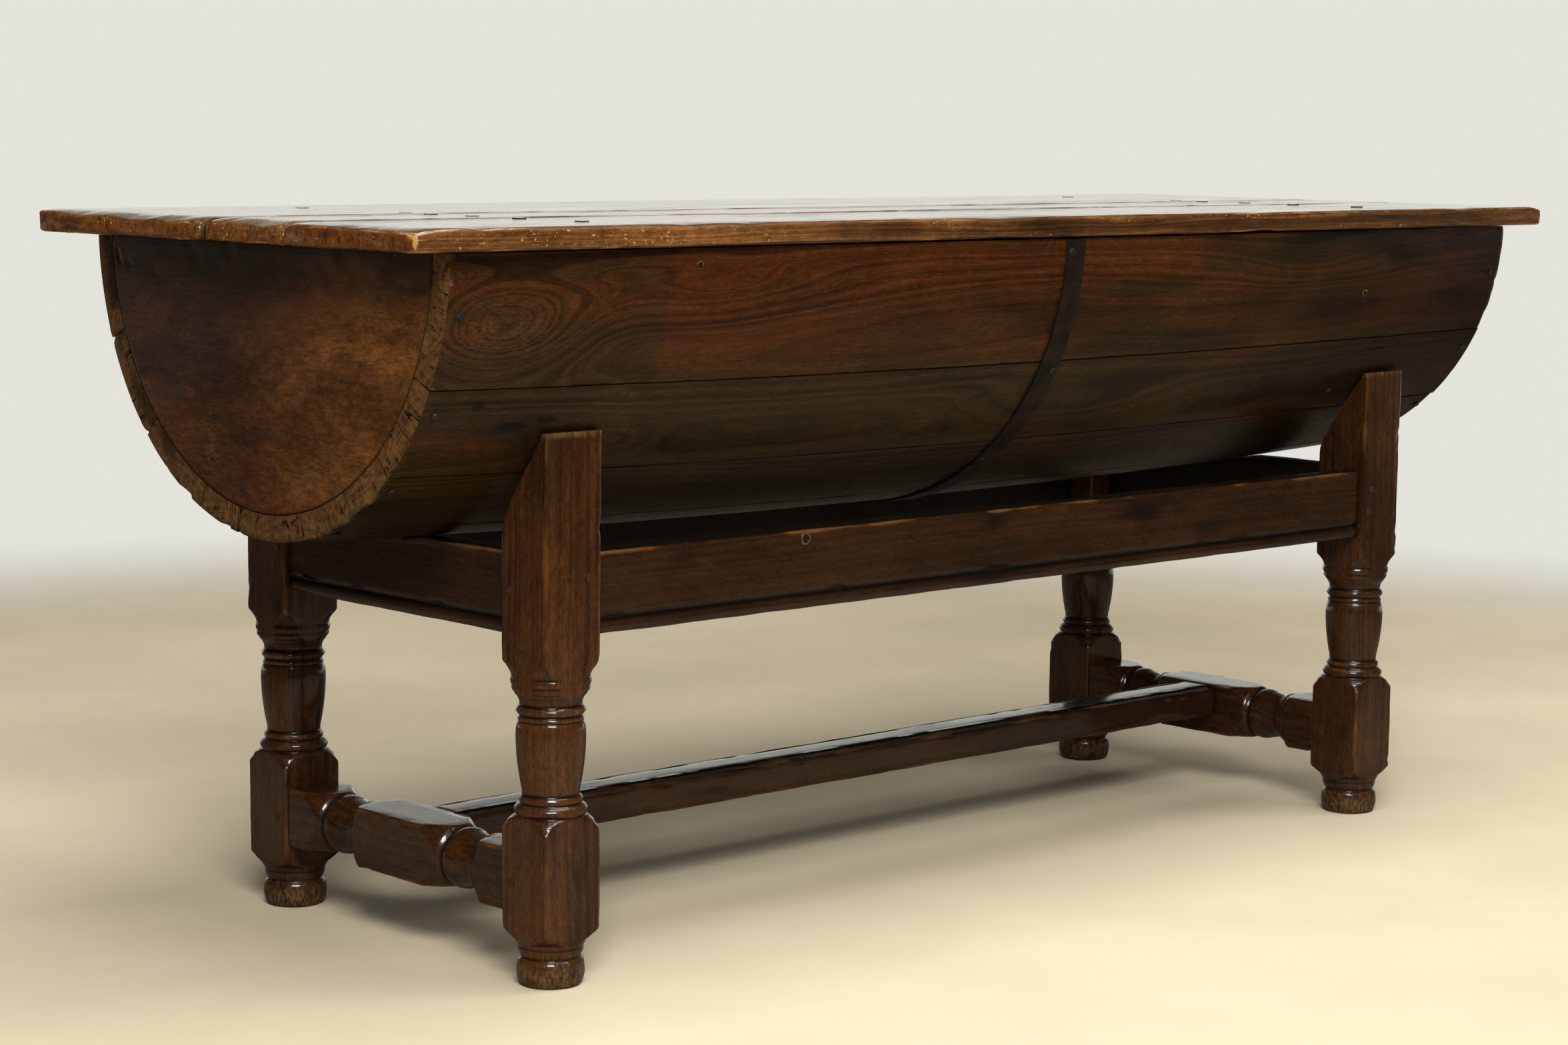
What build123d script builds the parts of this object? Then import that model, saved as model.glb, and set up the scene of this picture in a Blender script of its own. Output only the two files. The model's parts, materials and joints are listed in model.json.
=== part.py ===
from build123d import *
import os
from math import asin, cos, degrees, radians, sin, sqrt

# Antique dough box: a coopered half-barrel trough with a hinged plank lid, resting loose
# in a joined stand with turned legs. Millimetres. +X runs along the box, +Y to its back,
# +Z up. The origin is on the floor under the middle of the lid.

# ---- lid ----
lid_overhang = 6.0
lid_end_overhang = 55.0
lid_thickness = 24.0
lid_edge_round = 4.0
board_seam = 0.4
seam_front_y = -113.0
seam_middle_y = -11.0
seam_strip_y = 25.0
board_short_front = 3.0
board_short_middle = 5.0
board_short_strip = 8.0
board_edge_ease = 1.2
batten_x = 600.0
batten_width = 48.0
batten_height = 22.0
batten_end_gap = 30.0
batten_ease = 3.0
lid_nail_shank = 4.0
lid_nail_head = 10.0
lid_nail_head_height = 1.5
lid_nail_point_cover = 4.0
lid_nail_end_inset = 15.0
lid_nail_seam_inset = 25.0

# ---- trough ----
trough_length = 1616.0
trough_x = 4.0
trough_top = 722.0
barrel_axis_z = 732.0
barrel_mid_radius = 318.0
barrel_bow = 20800.0
band_seat = 60.0
end_seat = 40.0
stave_thickness = 28.0
stave_seam = 0.4
rim_ease = 2.0
seam_angles = (27.0, 47.5, 68.5, 99.5, 112.5, 135.0, 157.0)
stave_names = (
    "stave_front_upper",
    "stave_front_middle",
    "stave_front_lower",
    "stave_bottom_front",
    "stave_bottom_back",
    "stave_back_lower",
    "stave_back_middle",
    "stave_back_upper",
)
end_board_thickness = 32.0
end_board_gap = 0.2
end_nail_inset = 16.0
end_nail_count = 9
end_nail_first_angle = 13.0
end_nail_shank = 3.5
end_nail_length = 46.0
nail_hole_gap = 0.15
rose_head_radius = 4.5
rose_head_height = 1.6
rose_head_taper = 30.0
rose_head_gap = 0.2

# ---- iron band round the trough ----
band_x = 10.0
band_width = 30.0
band_thickness = 2.5
band_drop = 8.0
band_corner = 10.0
band_gap = 0.05
band_nail_count = 8
band_nail_length = 22.0
band_nail_margin = 5.0
band_nail_end_inset = 17.0

# ---- lid hinges ----
lid_gap = 0.4
hinge_x = 520.0
hinge_length = 76.0
hinge_pin_radius = 2.0
hinge_pin_gap = 0.05
knuckle_radius = 5.0
hinge_stand_off = 1.0
knuckle_gap = 0.4
knuckle_pocket_gap = 0.8
leaf_width = 28.0
leaf_thickness = 2.5
leaf_side_gap = 0.3
leaf_overlap = 2.0
leaf_nail_row = 12.0
pin_stand_out = 1.5
hinge_nail_shank = 3.0
hinge_nail_head = 7.0
hinge_nail_head_height = 1.0
hinge_nail_length = 17.0
hinge_nail_spread = 24.0

# ---- stand: legs ----
stand_x = 10.0
leg_span_x = 1264.0
leg_size = 70.0
leg_height = 546.0
leg_ease = 1.5
foot_radius = 34.0
foot_height = 27.0
lower_block_start = 57.0
lower_block_end = 156.5
upper_block_start = 321.0
neck_radius = 28.5
vase_radius = 34.5
vase_widest_z = 249.0
vase_swell = 2.0
ring_inset = 0.7
post_top_thickness = 5.0
post_gap = 2.8
post_cut_height = 98.0
post_cut_bow = 3.0
cut_overrun = 2.0

# ---- stand: rails ----
rail_bottom = 345.0
rail_height = 82.0
rail_thickness = 28.0
rail_setback = 6.0
rail_bead = 15.0
rail_quirk = 2.0
rail_quirk_depth = 3.0
rail_ease = 2.0
cradle_gap = 0.3
rail_tenon_thickness = 12.0
rail_tenon_length = 40.0
rail_tenon_shoulder = 9.0
tenon_gap = 0.15

# ---- stand: stretchers ----
stretcher_size = 64.0
stretcher_axis_z = 102.0
stretcher_end_block = 36.0
stretcher_turning = 90.0
stretcher_tenon_height = 38.0
stretcher_tenon_thickness = 16.0
stretcher_tenon_length = 42.0
stretcher_ease = 1.5
bulb_swell = 1.8
long_width = 62.0
long_height = 37.0
long_drop = 1.0
long_moulding = 13.0
long_bead_step = 2.2
long_bead = 5.0
long_hollow_rise = 3.1
long_tenon_width = 36.0
long_tenon_height = 20.0
long_tenon_length = 34.0

# ---- stand: pegs ----
peg_radius = 4.5
peg_hole_gap = 0.1
peg_stand_out = 0.8
peg_inset = 13.0
rail_peg_length = 46.0
front_peg_lift = 14.0

# ---- worked-out places ----
lid_length = trough_length + 2 * lid_end_overhang
lid_depth = 2 * (barrel_mid_radius + lid_overhang)
lid_bottom = trough_top + lid_gap
lid_top = lid_bottom + lid_thickness
half = trough_length / 2
bow_start = band_seat / 2
bow_end = half - end_seat
barrel_axis = Axis((trough_x, 0, barrel_axis_z), (1, 0, 0))
leg_half = leg_size / 2
corner_radius = leg_half * sqrt(2) + 0.5
rail_top = rail_bottom + rail_height
hinge_axis_z = trough_top + lid_gap / 2


def barrel_radius(x):
    """Outer radius at a distance x from the trough's middle: level under the iron band,
    then bowed, then straight along the nailed ends."""
    bowed = min(max(abs(x) - bow_start, 0), bow_end - bow_start)
    rise = sqrt(barrel_bow**2 - bowed**2)
    return barrel_mid_radius - barrel_bow + rise - max(abs(x) - bow_end, 0) * bowed / rise


def half_width(radius, height):
    """Half the width of a round about the barrel's axis, at a height from the floor."""
    return sqrt(radius**2 - (barrel_axis_z - height) ** 2)


hinge_axis_y = barrel_mid_radius + hinge_stand_off
batten_reach = barrel_radius(batten_x + batten_width / 2) - stave_thickness
batten_half = half_width(batten_reach, lid_bottom - batten_height) - batten_end_gap
post_face_y = half_width(barrel_radius(leg_span_x / 2) + post_gap, leg_height)
leg_span_y = 2 * (post_face_y + post_top_thickness - leg_half)


os.makedirs("parts", exist_ok=True)


def write(piece, label):
    piece.part.label = label
    export_step(piece.part, f"parts/{label}.step")


def barrel_line(inset):
    """The barrel's lengthwise outline in a radial plane; returns its two ends."""
    middle = (bow_start + bow_end) / 2
    places = (-half, -bow_end, -middle, -bow_start, bow_start, middle, bow_end, half)
    points = [(x, barrel_radius(x) - inset) for x in places]
    Line(points[0], points[1])
    ThreePointArc(*points[1:4])
    Line(points[3], points[4])
    ThreePointArc(*points[4:7])
    Line(points[6], points[7])
    return points[0], points[-1]


def radial_plane(angle):
    """Plane through the barrel's axis; its own y points outwards, angle is from the front down."""
    turn = radians(angle)
    return Plane(
        origin=(trough_x, 0, barrel_axis_z),
        x_dir=(1, 0, 0),
        z_dir=(0, sin(turn), -cos(turn)),
    )


def spot_on_barrel(angle, x, lift=0.0):
    """Plane lying on the barrel, z outwards, at a distance x from the trough's middle."""
    turn = radians(angle)
    reach = barrel_radius(x) + lift
    return Plane(
        origin=(trough_x + x, -reach * cos(turn), barrel_axis_z - reach * sin(turn)),
        x_dir=(1, 0, 0),
        z_dir=(0, -cos(turn), -sin(turn)),
    )


def outline(plane, points):
    """Closed straight-sided face."""
    with BuildSketch(plane) as face:
        with BuildLine():
            Polyline(*points, close=True)
        make_face()
    return face.sketch


def rectangle_on(plane, width, height):
    with BuildSketch(plane) as face:
        Rectangle(width, height)
    return face.sketch


def block(x_range, y_range, z_range):
    """Square-cornered solid between three pairs of limits."""
    with BuildPart() as solid:
        with BuildSketch(Plane.XY.offset(z_range[0])):
            with Locations(((x_range[0] + x_range[1]) / 2, (y_range[0] + y_range[1]) / 2)):
                Rectangle(x_range[1] - x_range[0], y_range[1] - y_range[0])
        extrude(amount=z_range[1] - z_range[0])
    return solid.part


def driven_nails(planes, shank, length, head=0.0, head_height=0.0, taper=0.0):
    """Square-shanked nails driven in along each plane's own -z; without heads, their holes."""
    with BuildPart() as nails:
        for plane in planes:
            extrude(rectangle_on(plane, shank, shank), amount=-length)
            if head:
                with BuildSketch(plane) as rose:
                    RegularPolygon(head, 8)
                extrude(rose.sketch, amount=head_height, taper=taper)
    return nails


# ---- nails, set first because the wood is bored for them ----
end_nail_step = (180 - 2 * end_nail_first_angle) / (end_nail_count - 1)
end_nail_angles = [end_nail_first_angle + i * end_nail_step for i in range(end_nail_count)]
end_nail_x = trough_length / 2 - end_nail_inset
nail_planes = {
    "left": [spot_on_barrel(angle, -end_nail_x, rose_head_gap) for angle in end_nail_angles],
    "right": [spot_on_barrel(angle, end_nail_x, rose_head_gap) for angle in end_nail_angles],
}
hole_width = end_nail_shank + 2 * nail_hole_gap
end_nail_holes = {}
for side, planes in nail_planes.items():
    end_nails = driven_nails(
        planes, end_nail_shank, end_nail_length, rose_head_radius, rose_head_height, rose_head_taper
    )
    write(end_nails, f"end_nails_{side}")
    end_nail_holes[side] = driven_nails(planes, hole_width, end_nail_length + 1).part

band_nail_margin_angle = degrees((band_drop + band_nail_end_inset) / barrel_mid_radius)
band_nail_step = (180 - 2 * band_nail_margin_angle) / (band_nail_count - 1)
band_side = band_width / 2 - band_nail_margin - rose_head_radius / 2
band_nail_planes = [
    spot_on_barrel(
        band_nail_margin_angle + i * band_nail_step,
        band_x + band_side * (1 if i % 2 else -1),
        band_thickness + 2 * band_gap,
    )
    for i in range(band_nail_count)
]
band_nails = driven_nails(
    band_nail_planes, end_nail_shank, band_nail_length, rose_head_radius, rose_head_height, rose_head_taper
)
write(band_nails, "band_nails")
band_nail_holes = driven_nails(band_nail_planes, hole_width, band_nail_length + 1).part

# ---- hinges: two leaves and a pin each, let in flush ----
leaf_edge_y = hinge_axis_y - knuckle_radius - leaf_width + leaf_overlap
segment = (hinge_length - 2 * knuckle_gap) / 3
hinge_sides = {"left": trough_x - hinge_x, "right": trough_x + hinge_x}
inner_end = segment / 2
outer_start = segment / 2 + knuckle_gap
knuckle_spans = {
    "lid": [(-inner_end, inner_end)],
    "trough": [(-hinge_length / 2, -outer_start), (outer_start, hinge_length / 2)],
}
leaf_bases = {"lid": lid_bottom, "trough": trough_top - leaf_thickness}


def hinge_nail_planes(x, owner):
    """Three nails down the middle of a leaf, heads towards the joint between the leaves."""
    upward = 1 if owner == "trough" else -1
    face_z = trough_top if owner == "trough" else lid_bottom
    row_y = leaf_edge_y + leaf_nail_row
    return [
        Plane(origin=(x + step * hinge_nail_spread, row_y, face_z - upward * hinge_nail_head_height),
              x_dir=(1, 0, 0), z_dir=(0, 0, upward))
        for step in (-1, 0, 1)
    ]


def hinge_nails(x, owner, gap=0.0):
    """The nails of one leaf, or with a gap the room that they take."""
    planes = hinge_nail_planes(x, owner)
    with BuildPart() as nails:
        for plane in planes:
            shank = hinge_nail_shank + 2 * gap
            extrude(rectangle_on(plane, shank, shank), amount=-hinge_nail_length - gap)
            head = hinge_nail_head + 2 * gap
            extrude(rectangle_on(plane.offset(-gap), head, head), amount=hinge_nail_head_height + gap)
    return nails


def hinge_leaf(x, owner):
    """Flat plate with its knuckles, bored for the pin and cut clear of the other leaf's knuckles."""
    base = leaf_bases[owner]
    with BuildPart() as leaf:
        add(block((x - hinge_length / 2, x + hinge_length / 2),
                  (leaf_edge_y, hinge_axis_y),
                  (base, base + leaf_thickness)))
        reach = knuckle_radius + knuckle_gap
        add(block((x - hinge_length / 2 - 1, x + hinge_length / 2 + 1),
                  (hinge_axis_y - reach, hinge_axis_y + reach),
                  (hinge_axis_z - reach, hinge_axis_z + reach)), mode=Mode.SUBTRACT)
        for start, end in knuckle_spans[owner]:
            with BuildSketch(Plane.YZ.offset(x + start)) as knuckle:
                with Locations((hinge_axis_y, hinge_axis_z)):
                    Circle(knuckle_radius)
                with Locations((hinge_axis_y - reach / 2, base + leaf_thickness / 2)):
                    Rectangle(reach, leaf_thickness)
            extrude(knuckle.sketch, amount=end - start)
        with BuildSketch(Plane.YZ.offset(x - hinge_length / 2 - 1)) as bore:
            with Locations((hinge_axis_y, hinge_axis_z)):
                Circle(hinge_pin_radius + hinge_pin_gap)
        extrude(bore.sketch, amount=hinge_length + 2, mode=Mode.SUBTRACT)
        add(hinge_nails(x, owner, nail_hole_gap).part, mode=Mode.SUBTRACT)
    return leaf


for side, x in hinge_sides.items():
    for owner in ("lid", "trough"):
        write(hinge_leaf(x, owner), f"hinge_{owner}_leaf_{side}")
    with BuildPart() as pin:
        with BuildSketch(Plane.YZ.offset(x - hinge_length / 2 - pin_stand_out)):
            with Locations((hinge_axis_y, hinge_axis_z)):
                Circle(hinge_pin_radius)
        extrude(amount=hinge_length + 2 * pin_stand_out)
    write(pin, f"hinge_pin_{side}")

for owner in ("lid", "trough"):
    with BuildPart() as leaf_nails:
        for x in hinge_sides.values():
            add(hinge_nails(x, owner).part)
    write(leaf_nails, f"hinge_nails_{owner}")

# ---- trough staves ----
seam_half_angle = degrees(stave_seam / 2 / barrel_mid_radius)
stave_edges = (0.0,) + seam_angles + (180.0,)
for index, name in enumerate(stave_names):
    top_stave = name.endswith("upper")
    first = stave_edges[index] + (seam_half_angle if index else 0)
    last = stave_edges[index + 1] - (seam_half_angle if index < len(stave_names) - 1 else 0)
    with BuildPart() as stave:
        with BuildSketch(radial_plane(first)):
            with BuildLine():
                outside = barrel_line(0)
                inside = barrel_line(stave_thickness)
                Line(outside[0], inside[0])
                Line(outside[1], inside[1])
            make_face()
        revolve(axis=barrel_axis, revolution_arc=last - first)
        if top_stave:
            split(bisect_by=Plane.XY.offset(trough_top), keep=Keep.BOTTOM)
            rim = stave.faces().sort_by(Axis.Z)[-1]
            chamfer([edge for edge in rim.edges()
                     if abs(edge.tangent_at(0.5).X) > 0.9
                     and abs(edge.center().Y) > barrel_radius(half) - stave_thickness / 2], rim_ease)
        for holes in end_nail_holes.values():
            add(holes, mode=Mode.SUBTRACT)
        add(band_nail_holes, mode=Mode.SUBTRACT)
        if name == "stave_back_upper":
            for x in hinge_sides.values():
                x_span = (x - hinge_length / 2 - leaf_side_gap, x + hinge_length / 2 + leaf_side_gap)
                outer_y = hinge_axis_y + knuckle_radius
                reach = knuckle_radius + knuckle_pocket_gap
                add(block(x_span, (leaf_edge_y - leaf_side_gap, outer_y),
                          (trough_top - leaf_thickness, trough_top + 1)), mode=Mode.SUBTRACT)
                add(block(x_span, (hinge_axis_y - reach, outer_y), (hinge_axis_z - reach, trough_top + 1)),
                    mode=Mode.SUBTRACT)
                add(hinge_nails(x, "trough", nail_hole_gap).part, mode=Mode.SUBTRACT)
    write(stave, name)

# ---- trough ends: half-round boards inside the staves ----
for side, sign in (("left", -1), ("right", 1)):
    outer_x = sign * half
    inner_x = sign * (half - end_board_thickness)
    outer_reach = barrel_radius(half) - stave_thickness - end_board_gap
    inner_reach = barrel_radius(half - end_board_thickness) - stave_thickness - end_board_gap
    with BuildPart() as end_board:
        revolve(
            outline(radial_plane(0), [(outer_x, 0), (outer_x, outer_reach),
                                      (inner_x, inner_reach), (inner_x, 0)]),
            axis=barrel_axis,
            revolution_arc=180,
        )
        split(bisect_by=Plane.XY.offset(trough_top), keep=Keep.BOTTOM)
        add(end_nail_holes[side], mode=Mode.SUBTRACT)
    write(end_board, f"trough_end_{side}")

# ---- iron band ----
band_start = degrees(asin((barrel_axis_z - trough_top + band_drop) / barrel_mid_radius))
with BuildPart() as iron_band:
    with BuildSketch(radial_plane(band_start)):
        with Locations((band_x, barrel_mid_radius + band_gap + band_thickness / 2)):
            Rectangle(band_width, band_thickness)
    revolve(axis=barrel_axis, revolution_arc=180 - 2 * band_start)
    corners = [edge for edge in iron_band.edges() if abs(edge.length - band_thickness) < 0.01]
    fillet(corners, band_corner)
    add(band_nail_holes, mode=Mode.SUBTRACT)
write(iron_band, "iron_band")

# ---- lid ----
board_limits = {
    "lid_board_front": (-lid_depth / 2, seam_front_y, board_short_front),
    "lid_board_middle": (seam_front_y, seam_middle_y, board_short_middle),
    "lid_board_strip": (seam_middle_y, seam_strip_y, board_short_strip),
    "lid_board_back": (seam_strip_y, lid_depth / 2, 0.0),
}
lid_nail_rows = [
    -batten_half + lid_nail_end_inset,
    seam_front_y - lid_nail_seam_inset,
    (seam_front_y + seam_middle_y) / 2,
    (seam_middle_y + seam_strip_y) / 2,
    seam_strip_y + lid_nail_seam_inset,
    batten_half - lid_nail_end_inset,
]
batten_places = [-batten_x, batten_x]
lid_nail_planes = [
    Plane.XY.offset(lid_top - lid_nail_head_height) * Location((trough_x + x, y, 0))
    for y in lid_nail_rows
    for x in batten_places
]
lid_nail_length = lid_thickness - lid_nail_head_height + batten_height - lid_nail_point_cover


def lid_nail_solids(gap=0.0):
    """The lid's nails, or with a gap the room that they take."""
    with BuildPart() as nails:
        for plane in lid_nail_planes:
            shank = lid_nail_shank + 2 * gap
            head = lid_nail_head + 2 * gap
            extrude(rectangle_on(plane, shank, shank), amount=-lid_nail_length - gap)
            extrude(rectangle_on(plane, head, head), amount=lid_nail_head_height + gap)
    return nails


write(lid_nail_solids(), "lid_nails")
lid_nail_room = lid_nail_solids(nail_hole_gap).part
for name, (front_y, back_y, short) in board_limits.items():
    front_edge = front_y if front_y == -lid_depth / 2 else front_y + board_seam / 2
    back_edge = back_y if back_y == lid_depth / 2 else back_y - board_seam / 2
    with BuildPart() as board:
        add(block((-lid_length / 2 + short, lid_length / 2 - short), (front_edge, back_edge),
                  (lid_bottom, lid_top)))
        ends = board.edges().filter_by(Axis.Y)
        outside = [edge for edge in board.edges().filter_by(Axis.X)
                   if abs(abs(edge.center().Y) - lid_depth / 2) < 0.01]
        fillet(ends + outside, lid_edge_round)
        chamfer([edge for edge in board.edges().filter_by(Axis.X)
                 if edge.center().Z > lid_top - 0.01
                 and min(abs(edge.center().Y - front_edge), abs(edge.center().Y - back_edge)) < 0.01
                 and abs(abs(edge.center().Y) - lid_depth / 2) > lid_edge_round + 1], board_edge_ease)
        add(lid_nail_room, mode=Mode.SUBTRACT)
        if name == "lid_board_back":
            for x in hinge_sides.values():
                x_span = (x - hinge_length / 2 - leaf_side_gap, x + hinge_length / 2 + leaf_side_gap)
                reach = knuckle_radius + knuckle_pocket_gap
                add(block(x_span, (leaf_edge_y - leaf_side_gap, hinge_axis_y),
                          (lid_bottom - 1, lid_bottom + leaf_thickness)), mode=Mode.SUBTRACT)
                add(block((x_span[0] - 2, x_span[1] + 2), (hinge_axis_y - reach, lid_depth / 2 + 1),
                          (lid_bottom - 1, hinge_axis_z + reach)), mode=Mode.SUBTRACT)
                add(hinge_nails(x, "lid", nail_hole_gap).part, mode=Mode.SUBTRACT)
    write(board, name)

for side, x in zip(("left", "right"), batten_places):
    with BuildPart() as batten:
        add(block((trough_x + x - batten_width / 2, trough_x + x + batten_width / 2),
                  (-batten_half, batten_half),
                  (lid_bottom - batten_height, lid_bottom)))
        chamfer(batten.faces().sort_by(Axis.Z)[0].edges(), batten_ease)
        add(lid_nail_room, mode=Mode.SUBTRACT)
    write(batten, f"lid_batten_{side}")


# ---- stand ----
def turned_outline(plane, rows):
    """Half outline of turned work: rows of radius, height and how far the way to the next row swells."""
    with BuildSketch(plane) as profile:
        with BuildLine():
            for (radius, height, swell), (next_radius, next_height, _) in zip(rows, rows[1:]):
                start, end = Vector(radius, height), Vector(next_radius, next_height)
                if swell:
                    outward = Vector(next_height - height, radius - next_radius).normalized()
                    ThreePointArc(start, (start + end) * 0.5 + outward * swell, end)
                else:
                    Line(start, end)
            Polyline(rows[-1][:2], (0, rows[-1][1]), (0, rows[0][1]), rows[0][:2])
        make_face()
    return profile.sketch


# Rows of radius, height and swell; a radius past the stock's corners leaves the block square.
leg_ring = leg_half - ring_inset
leg_turning = [
    (foot_radius - 4, 0, 0),
    (foot_radius, 8, 0),
    (foot_radius - 1, foot_height, 0),
    (leg_ring - 2, foot_height + 1, 0),
    (leg_ring, foot_height + 5, 0),
    (leg_ring - 1.5, foot_height + 10, 0),
    (leg_half + 4, foot_height + 20, 0),
    (corner_radius, lower_block_start, 0),
    (corner_radius, lower_block_end, 0),
    (leg_half + 8, lower_block_end + 8, 0),
    (leg_half + 8, lower_block_end + 11, 0),
    (leg_half + 4, lower_block_end + 16, 0),
    (leg_ring - 1, lower_block_end + 28, 0),
    (neck_radius, lower_block_end + 36, vase_swell),
    (vase_radius, vase_widest_z, vase_swell),
    (neck_radius + 1, upper_block_start - 51, 0),
    (leg_ring, upper_block_start - 48, 0),
    (leg_ring, upper_block_start - 43, 0),
    (neck_radius + 3, upper_block_start - 40, 0),
    (neck_radius + 5, upper_block_start - 32, 0),
    (leg_half + 3, upper_block_start - 26, 0),
    (leg_half + 6, upper_block_start - 22, 0),
    (leg_half + 5, upper_block_start - 15, 0),
    (leg_half + 8, upper_block_start - 8, 0),
    (corner_radius, upper_block_start, 0),
    (corner_radius, leg_height, 0),
]

rail_face_y = leg_span_y / 2 + leg_half - rail_setback
rail_face_x = leg_span_x / 2 + leg_half - rail_setback
rail_inside_y = rail_face_y - rail_thickness
rail_inside_x = rail_face_x - rail_thickness
front_tenon_y = rail_face_y - rail_tenon_shoulder
end_tenon_x = rail_face_x - rail_tenon_shoulder
post_inside_x = leg_span_x / 2 - leg_half
post_inside_y = leg_span_y / 2 - leg_half
tenon_low = rail_bottom + rail_bead + rail_quirk
tenon_high = rail_top - rail_tenon_shoulder


def mirrored_block(x_range, y_range, z_range, sx, sy):
    """Block given for the right back corner of the stand, moved to another corner."""
    xs = sorted(stand_x + sx * x for x in x_range)
    ys = sorted(sy * y for y in y_range)
    return block(xs, ys, z_range)


def long_rail_tenon(sx, sy, gap):
    """Tenon of the front or back rail in its leg, or its mortise with a gap."""
    return mirrored_block((post_inside_x - 1, post_inside_x + rail_tenon_length + gap),
                          (front_tenon_y - rail_tenon_thickness - gap, front_tenon_y + gap),
                          (tenon_low - gap, tenon_high + gap), sx, sy)


def end_rail_tenon(sx, sy, gap):
    """Tenon of an end rail in its leg, or its mortise with a gap."""
    return mirrored_block((end_tenon_x - rail_tenon_thickness - gap, end_tenon_x + gap),
                          (post_inside_y - 1, post_inside_y + rail_tenon_length + gap),
                          (tenon_low - gap, tenon_high + gap), sx, sy)


def stretcher_tenon(sx, sy, gap):
    """Tenon of a cross stretcher in its leg, or its mortise with a gap."""
    thick = stretcher_tenon_thickness / 2 + gap
    tall = stretcher_tenon_height / 2 + gap
    return mirrored_block((leg_span_x / 2 - thick, leg_span_x / 2 + thick),
                          (post_inside_y - 1, post_inside_y + stretcher_tenon_length + gap),
                          (stretcher_axis_z - tall, stretcher_axis_z + tall), sx, sy)


def long_tenon(sx, gap):
    """Tenon of the long stretcher in a cross stretcher, or its mortise with a gap."""
    face = leg_span_x / 2 - stretcher_size / 2
    middle = stretcher_axis_z + stretcher_size / 2 - long_drop - long_height / 2
    return mirrored_block((face - 1, face + long_tenon_length + gap),
                          (-long_tenon_width / 2 - gap, long_tenon_width / 2 + gap),
                          (middle - long_tenon_height / 2 - gap, middle + long_tenon_height / 2 + gap),
                          sx, 1)


def peg_planes(sx, sy):
    """Places of one leg's pegs on its outer faces, with how deep each goes."""
    x_face = stand_x + sx * (leg_span_x / 2 + leg_half)
    y_face = sy * (leg_span_y / 2 + leg_half)
    tenon_middle = (tenon_low + tenon_high) / 2
    outward_x = Plane(origin=(x_face, sy * (post_inside_y + peg_inset), tenon_middle),
                      x_dir=(0, 1, 0), z_dir=(sx, 0, 0))
    lower_x = Plane(origin=(x_face, sy * (post_inside_y + peg_inset + 4), stretcher_axis_z),
                    x_dir=(0, 1, 0), z_dir=(sx, 0, 0))
    places = [(outward_x, rail_peg_length), (lower_x, leg_size)]
    for lift, inset in ((front_peg_lift, peg_inset + 3), (-front_peg_lift, peg_inset - 2)):
        places.append((Plane(origin=(stand_x + sx * (post_inside_x + inset), y_face, tenon_middle + lift),
                             x_dir=(1, 0, 0), z_dir=(0, sy, 0)), rail_peg_length))
    return places


def pegs(sx, sy, gap=0.0):
    """One leg's pegs, or with a gap their holes."""
    with BuildPart() as solids:
        for plane, depth in peg_planes(sx, sy):
            with BuildSketch(plane.offset(peg_stand_out)) as end:
                RegularPolygon(peg_radius + gap, 12)
            extrude(end.sketch, amount=-depth - peg_stand_out - (2 * gap))
    return solids


corners = {"front_left": (-1, -1), "front_right": (1, -1), "back_left": (-1, 1), "back_right": (1, 1)}
peg_holes = {name: pegs(sx, sy, peg_hole_gap).part for name, (sx, sy) in corners.items()}
for name, (sx, sy) in corners.items():
    centre_x = stand_x + sx * leg_span_x / 2
    centre_y = sy * leg_span_y / 2
    with BuildPart() as leg:
        upright = Plane(origin=(centre_x, centre_y, 0), x_dir=(1, 0, 0), z_dir=(0, -1, 0))
        revolve(turned_outline(upright, leg_turning), axis=Axis((centre_x, centre_y, 0), (0, 0, 1)))
        with BuildSketch(Plane.XY):
            with Locations((centre_x, centre_y)):
                RectangleRounded(leg_size, leg_size, leg_ease)
        extrude(amount=leg_height, mode=Mode.INTERSECT)
        cut_top_y = leg_half - post_top_thickness
        cut_plane = Plane(origin=(centre_x - leg_size, centre_y, 0), x_dir=(0, sy, 0), z_dir=(sy, 0, 0))
        with BuildSketch(cut_plane) as sweep_cut:
            with BuildLine():
                top = (cut_top_y, leg_height)
                low = (-leg_half - cut_overrun, leg_height - post_cut_height - cut_overrun)
                middle = ((top[0] + low[0]) / 2 - post_cut_bow, (top[1] + low[1]) / 2 + post_cut_bow)
                ThreePointArc(top, middle, low)
                Polyline(low, (-leg_size, low[1]), (-leg_size, leg_height + 5),
                         (top[0], leg_height + 5), top)
            make_face()
        extrude(sweep_cut.sketch, amount=sy * 2 * leg_size, mode=Mode.SUBTRACT)
        add(long_rail_tenon(sx, sy, tenon_gap), mode=Mode.SUBTRACT)
        add(end_rail_tenon(sx, sy, tenon_gap), mode=Mode.SUBTRACT)
        add(stretcher_tenon(sx, sy, tenon_gap), mode=Mode.SUBTRACT)
        add(peg_holes[name], mode=Mode.SUBTRACT)
    write(leg, f"leg_{name}")
    write(pegs(sx, sy), f"pegs_{name}")


def rail_section(plane):
    """Rail seen on its end: outer face at 0, a quirk and a round bead along the lower edge."""
    bead_top = rail_bottom + rail_bead
    with BuildSketch(plane) as section:
        with BuildLine():
            Polyline(
                (-rail_thickness, rail_bottom), (-rail_thickness, rail_top), (-rail_ease, rail_top),
                (0, rail_top - rail_ease), (0, bead_top + rail_quirk),
                (-rail_quirk_depth, bead_top + rail_quirk), (-rail_quirk_depth, bead_top),
            )
            ThreePointArc((-rail_quirk_depth, bead_top), (0, bead_top - rail_bead / 2),
                          (-rail_quirk_depth, rail_bottom))
            Line((-rail_quirk_depth, rail_bottom), (-rail_thickness, rail_bottom))
        make_face()
    return section.sketch


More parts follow.
